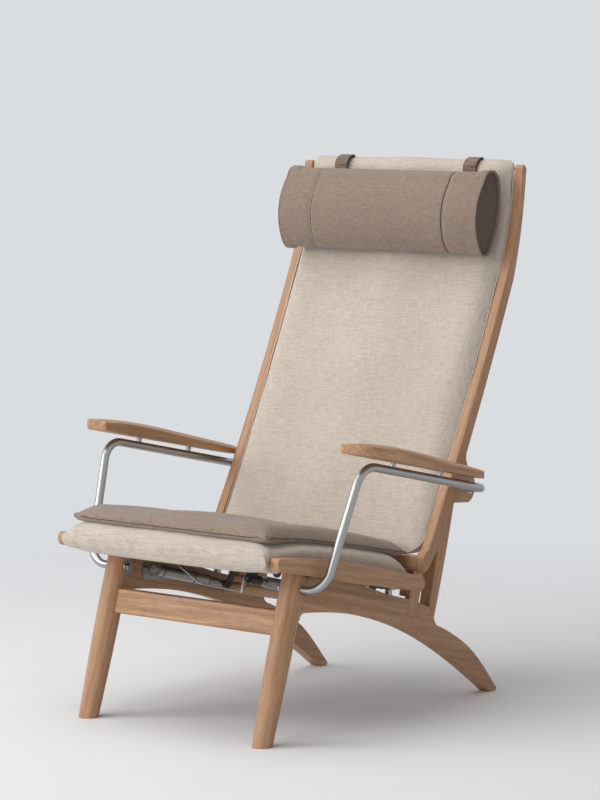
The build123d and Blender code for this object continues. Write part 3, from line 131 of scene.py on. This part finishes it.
def new_material(name):
    """A material with an empty tree, ready to be filled."""
    material = bpy.data.materials.new(name)
    material.use_nodes = True
    material.node_tree.nodes.clear()
    return material, material.node_tree


def turned(tree, along, up, scale):
    """Object coordinates turned so that X runs along a direction, then scaled."""
    x = Vector(along).normalized()
    z = x.cross(Vector(up)).normalized()
    place = add(tree, "ShaderNodeTexCoord").outputs["Object"]
    x_y_z = [
        add(
            tree, "ShaderNodeVectorMath", {0: place, 1: tuple(row)}, operation="DOT_PRODUCT"
        ).outputs["Value"]
        for row in (x, z.cross(x), z)
    ]
    joined = add(tree, "ShaderNodeCombineXYZ", dict(zip("XYZ", x_y_z))).outputs[0]
    return add(tree, "ShaderNodeMapping", {"Vector": joined, "Scale": scale}).outputs[0]


DARKENED = {"data_type": "RGBA", "blend_type": "MULTIPLY"}


def layered(tree, pattern, stops, layers):
    """A colour that follows one pattern, darkened by other patterns, each by its share."""
    colour = add(tree, "ShaderNodeValToRGB", {"Fac": pattern}, stops).outputs[0]
    for share, other, tints in layers:
        tint = add(tree, "ShaderNodeValToRGB", {"Fac": other}, tints).outputs[0]
        colour = add(tree, "ShaderNodeMix", {0: share, 6: colour, 7: tint}, **DARKENED).outputs[2]
    return colour


def surfaced(tree, finish, height, strength, depth):
    """The shader with its finish, bumped by a height, joined to the material's output."""
    bump = add(tree, "ShaderNodeBump", {"Height": height, "Strength": strength, "Distance": depth})
    shader = add(tree, "ShaderNodeBsdfPrincipled", {**finish, "Normal": bump.outputs[0]})
    add(tree, "ShaderNodeOutputMaterial", {"Surface": shader.outputs[0]})


def oiled_oak(name, along, up=ACROSS, light="#C49C78"):
    """Oak, planed, sanded and oiled: long pores, soft figure, a low satin sheen."""
    material, tree = new_material(name)
    figure, pores = (
        add(
            tree,
            "ShaderNodeTexNoise",
            {
                "Vector": turned(tree, along, up, scale),
                "Scale": 1.0,
                "Detail": detail,
                "Roughness": roughness,
            },
        ).outputs[0]
        for scale, detail, roughness in ((FIGURE, 4.0, 0.5), (PORES, 3.0, 0.6))
    )
    rings = add(
        tree,
        "ShaderNodeTexWave",
        {
            "Vector": turned(tree, along, up, RINGS),
            "Scale": 1.0,
            "Distortion": 5.0,
            "Detail": 3.0,
            "Detail Scale": 0.8,
        },
        wave_type="RINGS",
        rings_direction="X",
    ).outputs[0]
    colour = layered(
        tree,
        figure,
        [(0.30, "#A87E5B"), (0.50, "#B68D6A"), (0.72, light)],
        [
            (0.2, rings, [(0.0, "#C09A7A"), (0.5, "#FFFFFF")]),
            (0.5, pores, [(0.34, "#B08A6C"), (0.48, "#FFFFFF")]),
        ],
    )
    finish = {"Base Color": colour, "Roughness": 0.47, "Specular IOR Level": 0.4}
    surfaced(tree, finish, pores, 0.12, PORE_DEPTH)
    return material


def seam_shadow_mask(tree, place):
    """1 within a thread's width of the plane x = place, 0 elsewhere."""
    here = add(tree, "ShaderNodeTexCoord").outputs["Object"]
    x = add(tree, "ShaderNodeSeparateXYZ", {0: here}).outputs["X"]
    return add(
        tree, "ShaderNodeMath", {0: x, 1: place, 2: 0.9 * MM}, operation="COMPARE"
    ).outputs[0]


def woven_cloth(name, along, up, thread, slub, light, dark, middle, shadowed_seams=()):
    """Wool and linen cloth, plain weave: uneven threads along and across, with a dry sheen."""
    material, tree = new_material(name)
    step = 1 / thread
    warp, weft = (
        add(
            tree,
            "ShaderNodeTexWave",
            {"Vector": turned(tree, along, up, scale), "Scale": 1.0, "Distortion": 0.0},
            wave_type="BANDS",
            bands_direction=direction,
        ).outputs[1]
        for scale, direction in (((step / 2, 0, 0), "X"), ((0, step / 2, 0), "Y"))
    )
    long_threads, cross_threads, clouds = (
        add(
            tree,
            "ShaderNodeTexNoise",
            {"Vector": turned(tree, along, up, scale), "Scale": 1.0, "Detail": detail},
        ).outputs[0]
        for scale, detail in (
            ((1 / slub, step, step * 0.3), 2.0),
            ((step, 1 / slub, step * 0.3), 2.0),
            (CLOUDS, 3.0),
        )
    )
    colour = layered(
        tree,
        long_threads,
        [(0.34, dark), (0.5, middle), (0.66, light)],
        [
            (0.25, cross_threads, [(0.36, "#C9C2BA"), (0.6, "#FFFFFF")]),
            (0.12, clouds, [(0.35, "#D8D2CB"), (0.65, "#FFFFFF")]),
        ],
    )
    # Painted shadow: a dark line along each seam, where the band's raised edge shades the cloth
    # beside it
    for place in shadowed_seams:
        seam = {0: seam_shadow_mask(tree, place), 6: colour, 7: linear("#4B423A")}
        colour = add(tree, "ShaderNodeMix", seam, **DARKENED).outputs[2]
    weave = add(tree, "ShaderNodeMath", {0: warp, 1: weft}, operation="MULTIPLY").outputs[0]
    height = add(tree, "ShaderNodeMath", {0: weave, 1: long_threads}, operation="ADD").outputs[0]
    finish = {
        "Base Color": colour,
        "Roughness": 0.9,
        "Specular IOR Level": 0.25,
        "Sheen Weight": 0.25,
        "Sheen Roughness": 0.5,
    }
    surfaced(tree, finish, height, 0.35, THREAD_DEPTH)
    return material


def satin_steel(name, code="#A8A8A7", rough=0.3):
    """Steel brushed to a satin: bright, with fine lines round it."""
    material, tree = new_material(name)
    upright = turned(tree, UPRIGHT, ACROSS, BRUSHING)
    lines = add(
        tree, "ShaderNodeTexNoise", {"Vector": upright, "Scale": 1.0, "Detail": 3.0}
    ).outputs[0]
    spread = add(
        tree,
        "ShaderNodeMapRange",
        {"Value": lines, "To Min": rough * 0.8, "To Max": rough * 1.25},
    ).outputs[0]
    finish = {"Base Color": linear(code), "Metallic": 1.0, "Roughness": spread}
    surfaced(tree, finish, lines, 0.06, FINE_DEPTH)
    return material


def coated(name, code, rough):
    """Powder coat or moulded plastic: one colour with a fine orange-peel grain."""
    material, tree = new_material(name)
    grain = turned(tree, ACROSS, ALONG, COAT_GRAIN)
    peel = add(
        tree, "ShaderNodeTexNoise", {"Vector": grain, "Scale": 1.0, "Detail": 2.0}
    ).outputs[0]
    surfaced(tree, {"Base Color": linear(code), "Roughness": rough}, peel, 0.1, FINE_DEPTH)
    return material


oak_leg = oiled_oak("oiled_oak_leg", (0, 0.29, 0.957))
oak_board = oiled_oak("oiled_oak_board", (0, 0.97, -0.24))
oak_post = oiled_oak("oiled_oak_post", (0, 0.25, 0.97))
# Painted shade: the stub posts' oak is darker than the rest, for their faces on the shaded near
# side
shaded_oak_stub = oiled_oak("oiled_oak_stub", (0, 0.25, 0.97), light="#BC9472")
# Painted light: the cross pieces' oak is lighter than the rest, matched to the stretcher's lit
# front
lit_oak_cross = oiled_oak("oiled_oak_cross", ACROSS, ALONG, light="#CFA783")
oak_rail = oiled_oak("oiled_oak_rail", (0, 0.98, -0.19))
# Painted shade: the stiles' oak is darker than the rest, for their sides turned from the light
shaded_oak_stile = oiled_oak("oiled_oak_stile", BACK_WAY, light="#BA9070")
# Painted light: the armrests' oak is lighter than the rest, for their lit tops
lit_oak_arm = oiled_oak("oiled_oak_arm", (0, 0.978, -0.21), light="#D2A67E")

# Light, dark and middle threads of each cloth
BEIGE = ("#D2C6BA", "#C0B3A6", "#CBBFB2")
TAUPE = ("#A18E80", "#8C7A6D", "#978577")
# Painted shade: the pillow's taupe is the cushion's cloth made darker, for its less lit front
SHADED_PILLOW_TAUPE = ("#9B887A", "#877569", "#917F71")
BAND_TAUPE = ("#94816F", "#6B5B4D", "#806E5F")
# Painted shade: the taupe darkened for the pillow's recessed end panels
SHADED_END_TAUPE = ("#6E5D52", "#584A41", "#625349")
SEAM_TAUPE = ("#6A594C", "#4B3F36", "#5A4B40")
BLACK = ("#3A3633", "#22201E", "#2D2A28")
SEAM_X = 162 * MM

beige_back = woven_cloth("beige_wool_back", ACROSS, BACK_WAY, BEIGE_THREAD, BEIGE_SLUB, *BEIGE)
beige_seat = woven_cloth("beige_wool_seat", ACROSS, SEAT_WAY, BEIGE_THREAD, BEIGE_SLUB, *BEIGE)
taupe_seat = woven_cloth(
    "taupe_wool_cushion", ACROSS, SEAT_WAY, TAUPE_THREAD, TAUPE_SLUB, *TAUPE
)
# Painted shade: the pillow, its piping and the counterweight in the darker copy of the taupe
shaded_taupe_pillow = woven_cloth(
    "taupe_wool_pillow_painted_shade",
    ACROSS,
    BACK_WAY,
    TAUPE_THREAD,
    TAUPE_SLUB,
    *SHADED_PILLOW_TAUPE,
    shadowed_seams=(-SEAM_X, SEAM_X),
)
taupe_band = woven_cloth(
    "taupe_band", ACROSS, BACK_WAY, 2 * TAUPE_THREAD, BEIGE_SLUB, *BAND_TAUPE
)
black_web = woven_cloth("black_webbing", ACROSS, SEAT_WAY, TAUPE_THREAD, BEIGE_SLUB, *BLACK)
# Painted shade: the end panels' cloth, dark for the shade inside the recess
shaded_end_cloth = woven_cloth("taupe_wool_end_painted_shade", ALONG, UPRIGHT, TAUPE_THREAD, TAUPE_SLUB, *SHADED_END_TAUPE)
seam_thread = woven_cloth(
    "taupe_thread", ACROSS, BACK_WAY, TAUPE_THREAD, TAUPE_SLUB, *SEAM_TAUPE
)
tube_steel = satin_steel("satin_stainless_tube")
bright_steel = satin_steel("turned_steel", "#A9AAAA", 0.35)
plated_steel = satin_steel("zinc_plated_steel", "#B5B6B5", 0.38)
dark_coat = coated("grey_powder_coat", "#3C3B39", 0.5)
black_plastic = coated("black_moulded_nylon", "#161616", 0.45)
pale_plastic = coated("natural_moulded_nylon", "#D8D5CC", 0.5)


# Pieces
def only(piece):
    """Makes one object the selected and active one."""
    bpy.ops.object.select_all(action="DESELECT")
    piece.select_set(True)
    bpy.context.view_layer.objects.active = piece


def copy_of(node, name):
    """A merged copy of a CAD node's mesh, as a new object."""
    only(frame["nodes"][node])
    bpy.ops.object.duplicate()
    piece = bpy.context.object
    bpy.ops.object.parent_clear(type="CLEAR_KEEP_TRANSFORM")
    piece.name = name
    piece.data.materials.clear()
    bpy.ops.object.mode_set(mode="EDIT")
    bpy.ops.mesh.select_all(action="SELECT")
    bpy.ops.mesh.remove_doubles(threshold=0.01 * MM)
    bpy.ops.object.mode_set(mode="OBJECT")
    return piece


def applied(piece, kind, **settings):
    """Adds a modifier with its settings and applies it."""
    only(piece)
    modifier = piece.modifiers.new(kind.title(), kind)
    for key, value in settings.items():
        setattr(modifier, key, value)
    bpy.ops.object.modifier_apply(modifier=modifier.name)


def shaded(piece, smooth):
    """Sets whether a piece's faces shade smoothly."""
    for face in piece.data.polygons:
        face.use_smooth = smooth


def finished(piece, material, body, nodes=()):
    """Gives a piece its material, its body and the CAD nodes that it stands for."""
    piece.data.materials.append(material)
    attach(piece, body)
    if nodes:
        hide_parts(*nodes)


def eased(node, material, body, radius):
    """A wooden CAD piece with its edges rounded over."""
    piece = copy_of(node, node + "_eased")
    bpy.ops.object.mode_set(mode="EDIT")
    bpy.ops.mesh.select_all(action="SELECT")
    bpy.ops.mesh.dissolve_limited(angle_limit=MERGE_ANGLE)
    bpy.ops.object.mode_set(mode="OBJECT")
    limits = {"limit_method": "ANGLE", "angle_limit": EDGE_ANGLE}
    applied(piece, "BEVEL", width=radius, segments=3, **limits)
    only(piece)
    bpy.ops.object.shade_smooth_by_angle(angle=SMOOTH_ANGLE)
    finished(piece, material, body, [node])


PRESSURE = 4
LAST_FRAME = 20


def swollen(piece, sink, cap, held):
    """Cloth under pressure: the piece starts a little small and fills out, up to a cap."""
    mesh = piece.data
    normals = [v.normal.copy() for v in mesh.vertices]
    free = [not held(v.co, n) for v, n in zip(mesh.vertices, normals)]
    for v, n, loose in zip(mesh.vertices, normals, free):
        if loose:
            v.co -= n * sink
    start = [v.co.copy() for v in mesh.vertices]
    only(piece)
    cloth = piece.modifiers.new("Cloth", "CLOTH")
    cloth.settings.use_pressure = True
    cloth.settings.uniform_pressure_force = PRESSURE
    cloth.settings.effector_weights.gravity = 0
    cloth.point_cache.frame_end = LAST_FRAME
    for step in range(1, LAST_FRAME + 1):
        scene.frame_set(step)
    bpy.ops.object.modifier_apply(modifier=cloth.name)
    scene.frame_set(1)
    moved = [v.co.copy() for v in mesh.vertices]
    for v, first, last, loose in zip(mesh.vertices, start, moved, free):
        move = last - first
        if not loose:
            v.co = first
        elif move.length > cap:
            v.co = first + move * (cap / move.length)


def upholstered(node, name, half, voxel, sink, cap, held):
    """A soft CAD solid as a filled cloth piece, no wider than half on either side."""
    piece = copy_of(node, name)
    applied(piece, "REMESH", mode="VOXEL", voxel_size=voxel)
    swollen(piece, sink, cap, held)
    applied(piece, "SMOOTH", factor=0.5, iterations=3)
    for v in piece.data.vertices:
        v.co.x = max(-half, min(half, v.co.x))
    applied(piece, "SUBSURF", levels=1, render_levels=1)
    shaded(piece, True)
    return piece


WRAP = 110 * MM


def lowered(piece, out, upper, lower):
    """The front of a pad moved out and down, its underside by more than its top."""
    first = min(v.co.y for v in piece.data.vertices)
    downs = [0.5 - 0.5 * v.normal.z for v in piece.data.vertices]
    for v, under in zip(piece.data.vertices, downs):
        near = max(0, 1 - (v.co.y - first) / WRAP)
        ease = near * near * (3 - 2 * near)
        v.co.y -= out * ease
        v.co.z -= (upper + (lower - upper) * under) * ease


def tube(name, points, radius, closed=False):
    """A thin round cord along points, as a mesh."""
    curve = bpy.data.curves.new(name, "CURVE")
    curve.dimensions = "3D"
    curve.bevel_depth = radius
    curve.bevel_resolution = 2
    curve.resolution_u = 4
    curve.use_fill_caps = True
    line = curve.splines.new("NURBS")
    line.points.add(len(points) - 1)
    for knot, place in zip(line.points, points):
        knot.co = (*place, 1)
    line.use_cyclic_u = closed
    line.order_u = 3
    line.use_endpoint_u = not closed
    piece = bpy.data.objects.new(name, curve)
    scene.collection.objects.link(piece)
    only(piece)
    bpy.ops.object.convert(target="MESH")
    piece = bpy.context.object
    shaded(piece, True)
    return piece


def stations(low, high, count):
    """Evenly spaced places from low to high."""
    return [low + (high - low) * i / (count - 1) for i in range(count)]


def farthest(piece, along, place, towards, width):
    """The vertex near a place along one axis that reaches farthest in a direction."""
    near = [v.co for v in piece.data.vertices if abs(v.co[along] - place) < width]
    return max(near, key=lambda p: p.dot(towards)).copy()


# Back pad
BACK_HALF = 251.7 * MM
back = upholstered(
    "back_pad",
    "back_pad_cover",
    BACK_HALF,
    voxel=6 * MM,
    sink=1 * MM,
    cap=3 * MM,
    held=lambda p, n: n.y > 0.35 and n.z < 0.9 or abs(n.x) > 0.9,
)

# Its lower edge reaches down to the rail, with rounded corners, and its top edge stands proud
FOOT_REACH = 12 * MM
FOOT_SPAN = 60 * MM
CORNER = 42 * MM
CREST_LIFT = 4 * MM
up_back = Vector(BACK_WAY).normalized()
heights = [v.co.dot(up_back) for v in back.data.vertices]
foot, crest = min(heights), max(heights)
for v, height in zip(back.data.vertices, heights):
    rise = height - foot
    v.co += up_back * CREST_LIFT * max(0, 1 - (crest - height) / FOOT_SPAN)
    if rise < FOOT_SPAN:
        v.co -= up_back * FOOT_REACH * (1 - rise / FOOT_SPAN)
        rise = v.co.dot(up_back) - foot + FOOT_REACH
        side = abs(v.co.x) - (BACK_HALF - CORNER)
        reach = (side**2 + (CORNER - rise) ** 2) ** 0.5
        if side > 0 and rise < CORNER and reach > CORNER:
            ease = CORNER / reach
            v.co.x = math.copysign(BACK_HALF - CORNER + side * ease, v.co.x)
            v.co += up_back * (CORNER - rise) * (1 - ease)
finished(back, beige_back, "back", ["back_pad"])

# Seat pad, with a front that wraps down over the rail and out in front of the rails' tips
SEAT_HALF = 247.5 * MM
SEAT_FRONT_Y = -0.33
seat = upholstered(
    "seat_pad",
    "seat_pad_cover",
    SEAT_HALF,
    voxel=5.5 * MM,
    sink=1 * MM,
    cap=5 * MM,
    held=lambda p, n: n.z < -0.6 and p.y > SEAT_FRONT_Y or abs(n.x) > 0.9,
)
lowered(seat, 5 * MM, 7 * MM, 15 * MM)
TIP = 9 * MM
OVER = 17 * MM
first = min(v.co.y for v in seat.data.vertices)
for v in seat.data.vertices:
    front = max(0, 1 - (v.co.y - first) / TIP)
    edge = max(0, 1 - (SEAT_HALF - abs(v.co.x)) / WRAP * 3)
    v.co.x += math.copysign(OVER * front * edge, v.co.x)
applied(seat, "SMOOTH", factor=0.5, iterations=4)
finished(seat, beige_seat, "seat", ["seat_pad"])

# Loose seat cushion, with a wedge-shaped front
CUSHION_FRONT_Y = -0.35
cushion = upholstered(
    "seat_cushion",
    "seat_cushion_cover",
    236.5 * MM,
    voxel=4 * MM,
    sink=1 * MM,
    cap=2.5 * MM,
    held=lambda p, n: n.z < -0.6 or p.y < CUSHION_FRONT_Y,
)
lowered(cushion, 0, 0, 8 * MM)
finished(cushion, taupe_seat, "seat", ["seat_cushion"])

# Head pillow, drawn in along its two seams
PILLOW_HALF = 245 * MM
PILLOW_END = 222 * MM
pillow = upholstered(
    "headrest_pillow",
    "head_pillow_cover",
    PILLOW_HALF,
    voxel=4 * MM,
    sink=1.5 * MM,
    cap=2.5 * MM,
    held=lambda p, n: n.y > 0.5 or abs(p.x) > PILLOW_END,
)
PINCH = 2.2 * MM
PINCH_WIDE = 8 * MM
for v in pillow.data.vertices:
    off = abs(abs(v.co.x) - SEAM_X)
    if off < PINCH_WIDE:
        v.co -= v.normal * PINCH * (1 - off / PINCH_WIDE)
finished(pillow, shaded_taupe_pillow, "pillow", ["headrest_pillow"])
pillow.data.materials.append(shaded_end_cloth)

# Its ends are cut square, with a recessed panel inside a piped rim; the panel's cloth is the taupe
# darkened, painted shade of the recess
STRETCH = 1.018
END = PILLOW_HALF - 1 * MM
RIM = 2.5 * MM
RECESS = 5 * MM
PIPING = 1.3 * MM
for v in pillow.data.vertices:
    v.co.x *= STRETCH
for side, end in ((-1, "r"), (1, "l")):
    only(pillow)
    bpy.ops.object.mode_set(mode="EDIT")
    bpy.ops.mesh.select_mode(type="FACE")
    bpy.ops.mesh.select_all(action="SELECT")
    bpy.ops.mesh.bisect(
        plane_co=(side * END, 0, 0), plane_no=(side, 0, 0), use_fill=True, clear_outer=True
    )
    bpy.ops.object.mode_set(mode="OBJECT")
    cap = max(pillow.data.polygons, key=lambda face: face.area)
    rim = [pillow.data.vertices[i].co.copy() for i in cap.vertices]
    cap.use_smooth = False
    for face in pillow.data.polygons:
        face.select = face.index == cap.index
    bpy.ops.object.mode_set(mode="EDIT")
    bpy.ops.mesh.inset(thickness=RIM, use_boundary=True)
    bpy.ops.mesh.extrude_region_move(TRANSFORM_OT_translate={"value": (-side * RECESS, 0, 0)})
    bpy.ops.object.mode_set(mode="OBJECT")
    for face in pillow.data.polygons:
        if face.select:
            face.material_index = 1
    cord = tube("pillow_piping_" + end, rim[::3], PIPING, closed=True)
    finished(cord, shaded_taupe_pillow, "pillow")

# Counterweight in its cloth cover
weight = upholstered(
    "headrest_counterweight",
    "counterweight_cover",
    185 * MM,
    voxel=4 * MM,
    sink=1.5 * MM,
    cap=2.5 * MM,
    held=lambda p, n: n.y < -0.5,
)
finished(weight, shaded_taupe_pillow, "counterweight", ["headrest_counterweight"])

# Straps over the back, and the six bands of webbing under the seat
for side in "lr":
    node = "headrest_strap_" + side
    strap = copy_of(node, node + "_band")
    shaded(strap, False)
    finished(strap, taupe_band, "back", [node])
web = copy_of("seat_webbing", "seat_webbing_bands")
finished(web, black_web, "seat", ["seat_webbing"])

# Wooden pieces with the radius of their edges, first the pairs and then the cross pieces
for stem, material, body, radius in (
    ("front_leg", oak_leg, "base", 1.5 * MM),
    ("side_rail", oak_board, "base", 3 * MM),
    ("stub_post", shaded_oak_stub, "base", 2 * MM),
    ("rear_post", oak_post, "base", 2.5 * MM),
    ("armrest", lit_oak_arm, "base", 7 * MM),
    ("seat_rail", oak_rail, "seat", 4 * MM),
    ("back_stile", shaded_oak_stile, "back", 4 * MM),
):
    for side in "lr":
        eased(f"{stem}_{side}", material, body, radius)
for node, body in (
    ("front_stretcher", "base"),
    ("mid_cross_rail", "base"),
    ("rear_cross_rail", "base"),
    ("seat_front_rail", "seat"),
    ("seat_rear_rail", "seat"),
    ("back_top_rail", "back"),
    ("back_lumbar_rail", "back"),
    ("back_low_rail", "back"),
):
    eased(node, lit_oak_cross, body, 1 * MM)

# The seat rails' tips stop short of the pad's front
SHORTER = 8 * MM
TAPER = 60 * MM
for side in "lr":
    rail = bpy.data.objects[f"seat_rail_{side}_eased"]
    first = min(v.co.y for v in rail.data.vertices)
    for v in rail.data.vertices:
        v.co.y += SHORTER * max(0, 1 - (v.co.y - first) / TAPER)

# Piping round the back pad: down one side, round the foot and up the other
EDGE_HEIGHTS = stations(0.350, 1.010, 34)
LOW_PART_Z = 0.38
OUTWARD = Vector((0, -0.91, 0.41))
LEAN = 1.4
NEAR = 6 * MM


def back_edge(side):
    """Points up one side of the back pad, on its front edge."""
    towards = OUTWARD + Vector((side * LEAN, 0, 0))
    spots = [farthest(back, 2, z, towards, NEAR) for z in EDGE_HEIGHTS]
    return [Vector((side * (BACK_HALF - 0.6 * MM), p.y, p.z)) for p in spots]


low_part = [v.co.copy() for v in back.data.vertices if v.co.z < LOW_PART_Z]
corner = []
for turn in range(80, 0, -10):
    angle = math.radians(turn)
    way = Vector((math.cos(angle), 0, 0)) - up_back * math.sin(angle)
    corner.append(max(low_part, key=lambda p: p.dot(way * LEAN + OUTWARD)))
other_corner = [Vector((-p.x, p.y, p.z)) for p in reversed(corner)]
bottom = [
    farthest(back, 0, x, OUTWARD - up_back * LEAN, NEAR)
    for x in stations(-BACK_HALF + CORNER, BACK_HALF - CORNER, 15)
]
line = back_edge(-1)[::-1] + other_corner + bottom + corner + back_edge(1)
finished(tube("back_piping", line, PIPING), beige_back, "back")

# Seam round the cushion's rim
INSET = 14 * MM
low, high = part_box("seat_cushion")
xs = stations(low[0] + INSET, high[0] - INSET, 25)
ys = stations(low[1] + INSET, high[1] - INSET, 23)
loop = []
for axis, places, towards in (
    (0, xs, (0, -1, 0)),
    (1, ys, (1, 0, 0)),
    (0, xs[::-1], (0, 1, 0)),
    (1, ys[::-1], (-1, 0, 0)),
):
    loop += [farthest(cushion, axis, place, Vector(towards), 4 * MM) for place in places]
seam = tube("cushion_seam", loop, 1 * MM, closed=True)
finished(seam, seam_thread, "seat")

# Dark rings round the spring's cylinder, at these distances from its eye
SPRING_EYE = Vector((-0.184, -0.2005, 0.267))
SPRING_R = 10.7 * MM
SLIDE_ANGLE = math.radians(14.5)
slide_way = Vector((0, math.cos(SLIDE_ANGLE), -math.sin(SLIDE_ANGLE)))
sideways = Vector(ACROSS)
rise = slide_way.cross(sideways)
for index, reach in enumerate((30 * MM, 122 * MM, 165 * MM)):
    centre = SPRING_EYE + slide_way * reach
    turns = [k * math.pi / 12 for k in range(24)]
    circle = [centre + (sideways * math.cos(t) + rise * math.sin(t)) * SPRING_R for t in turns]
    ring = tube(f"cylinder_ring_{index}", circle, 0.9 * MM, closed=True)
    finished(ring, black_plastic, "base")

# Finishes of the pieces that keep their CAD shape
FINISHES = {
    tube_steel: "arm_tube_l arm_tube_r armrest_standoffs pivot_spacers",
    bright_steel: "arm_tube_nuts bracket_screws spring_rod lock_rod drive_pins"
    " slide_rail_l slide_rail_r",
    plated_steel: "spring_cylinder lock_tube spring_bracket release_arm release_crank"
    " release_cable",
    dark_coat: "seat_crossbar drive_cheeks drive_brackets spring_hanger lock_bracket"
    " lock_head slide_carriage_l slide_carriage_r glide_strips",
    black_plastic: "stub_bumpers release_handle",
    pale_plastic: "leg_glides pivot_bushes",
}
for material, nodes in FINISHES.items():
    for node in nodes.split():
        for holder in frame["nodes"][node].material_slots:
            holder.material = material

# Studio: a pale floor that fades into the backdrop's colour, and soft light
PAPER = linear("#DADDE0")
bpy.ops.mesh.primitive_plane_add(size=30)
floor = bpy.context.object
floor.name = "floor"
material, tree = new_material("pale_seamless_paper")
sheet = {"Base Color": linear("#ECECED"), "Roughness": 0.9}
paper = add(tree, "ShaderNodeBsdfPrincipled", sheet).outputs[0]
here = add(tree, "ShaderNodeTexCoord").outputs["Object"]
far = add(tree, "ShaderNodeVectorMath", {0: here}, operation="LENGTH").outputs["Value"]
fade = add(
    tree,
    "ShaderNodeMapRange",
    {"Value": far, "From Min": 0.8, "From Max": 2.4},
    interpolation_type="SMOOTHSTEP",
).outputs[0]
glow = add(tree, "ShaderNodeEmission", {"Color": PAPER}).outputs[0]
joined = add(tree, "ShaderNodeMixShader", {0: fade, 1: paper, 2: glow}).outputs[0]
add(tree, "ShaderNodeOutputMaterial", {"Surface": joined})
floor.data.materials.append(material)


def aimed(name, data, place, target):
    """An object of the scene that stands at a place and looks at a target."""
    item = bpy.data.objects.new(name, data)
    item.location = place
    aim = Vector(target) - Vector(place)
    item.rotation_euler = aim.to_track_quat("-Z", "Y").to_euler()
    scene.collection.objects.link(item)
    return item


for name, place, size, power in (
    ("left_softbox", (-3.0, -3.4, 2.6), 2.6, 98),
    ("top_softbox", (-0.6, -0.8, 4.2), 4.0, 88),
    ("front_softbox", (-0.4, -5.0, 1.6), 3.0, 58),
):
    lamp = bpy.data.lights.new(name, "AREA")
    lamp.size = size
    lamp.energy = power
    aimed(name, lamp, place, (0, 0, 0.5))

world = bpy.data.worlds.new("studio")
scene.world = world
world.use_nodes = True
tree = world.node_tree
tree.nodes.clear()
rays = add(tree, "ShaderNodeLightPath").outputs
seen = add(
    tree,
    "ShaderNodeMath",
    {0: rays["Is Camera Ray"], 1: rays["Is Glossy Ray"]},
    operation="MAXIMUM",
).outputs[0]
light = add(tree, "ShaderNodeBackground", {"Color": linear("#F1F2F4"), "Strength": 0.36})
sky = add(tree, "ShaderNodeBackground", {"Color": PAPER})
either = add(tree, "ShaderNodeMixShader", {0: seen, 1: light.outputs[0], 2: sky.outputs[0]})
add(tree, "ShaderNodeOutputWorld", {"Surface": either.outputs[0]})

lens = bpy.data.cameras.new("camera")
lens.sensor_fit = "VERTICAL"
lens.sensor_height = SENSOR
lens.lens = LENS
scene.camera = aimed("camera", lens, CAMERA_AT, LOOKS_AT)
scene.view_settings.view_transform = "Standard"
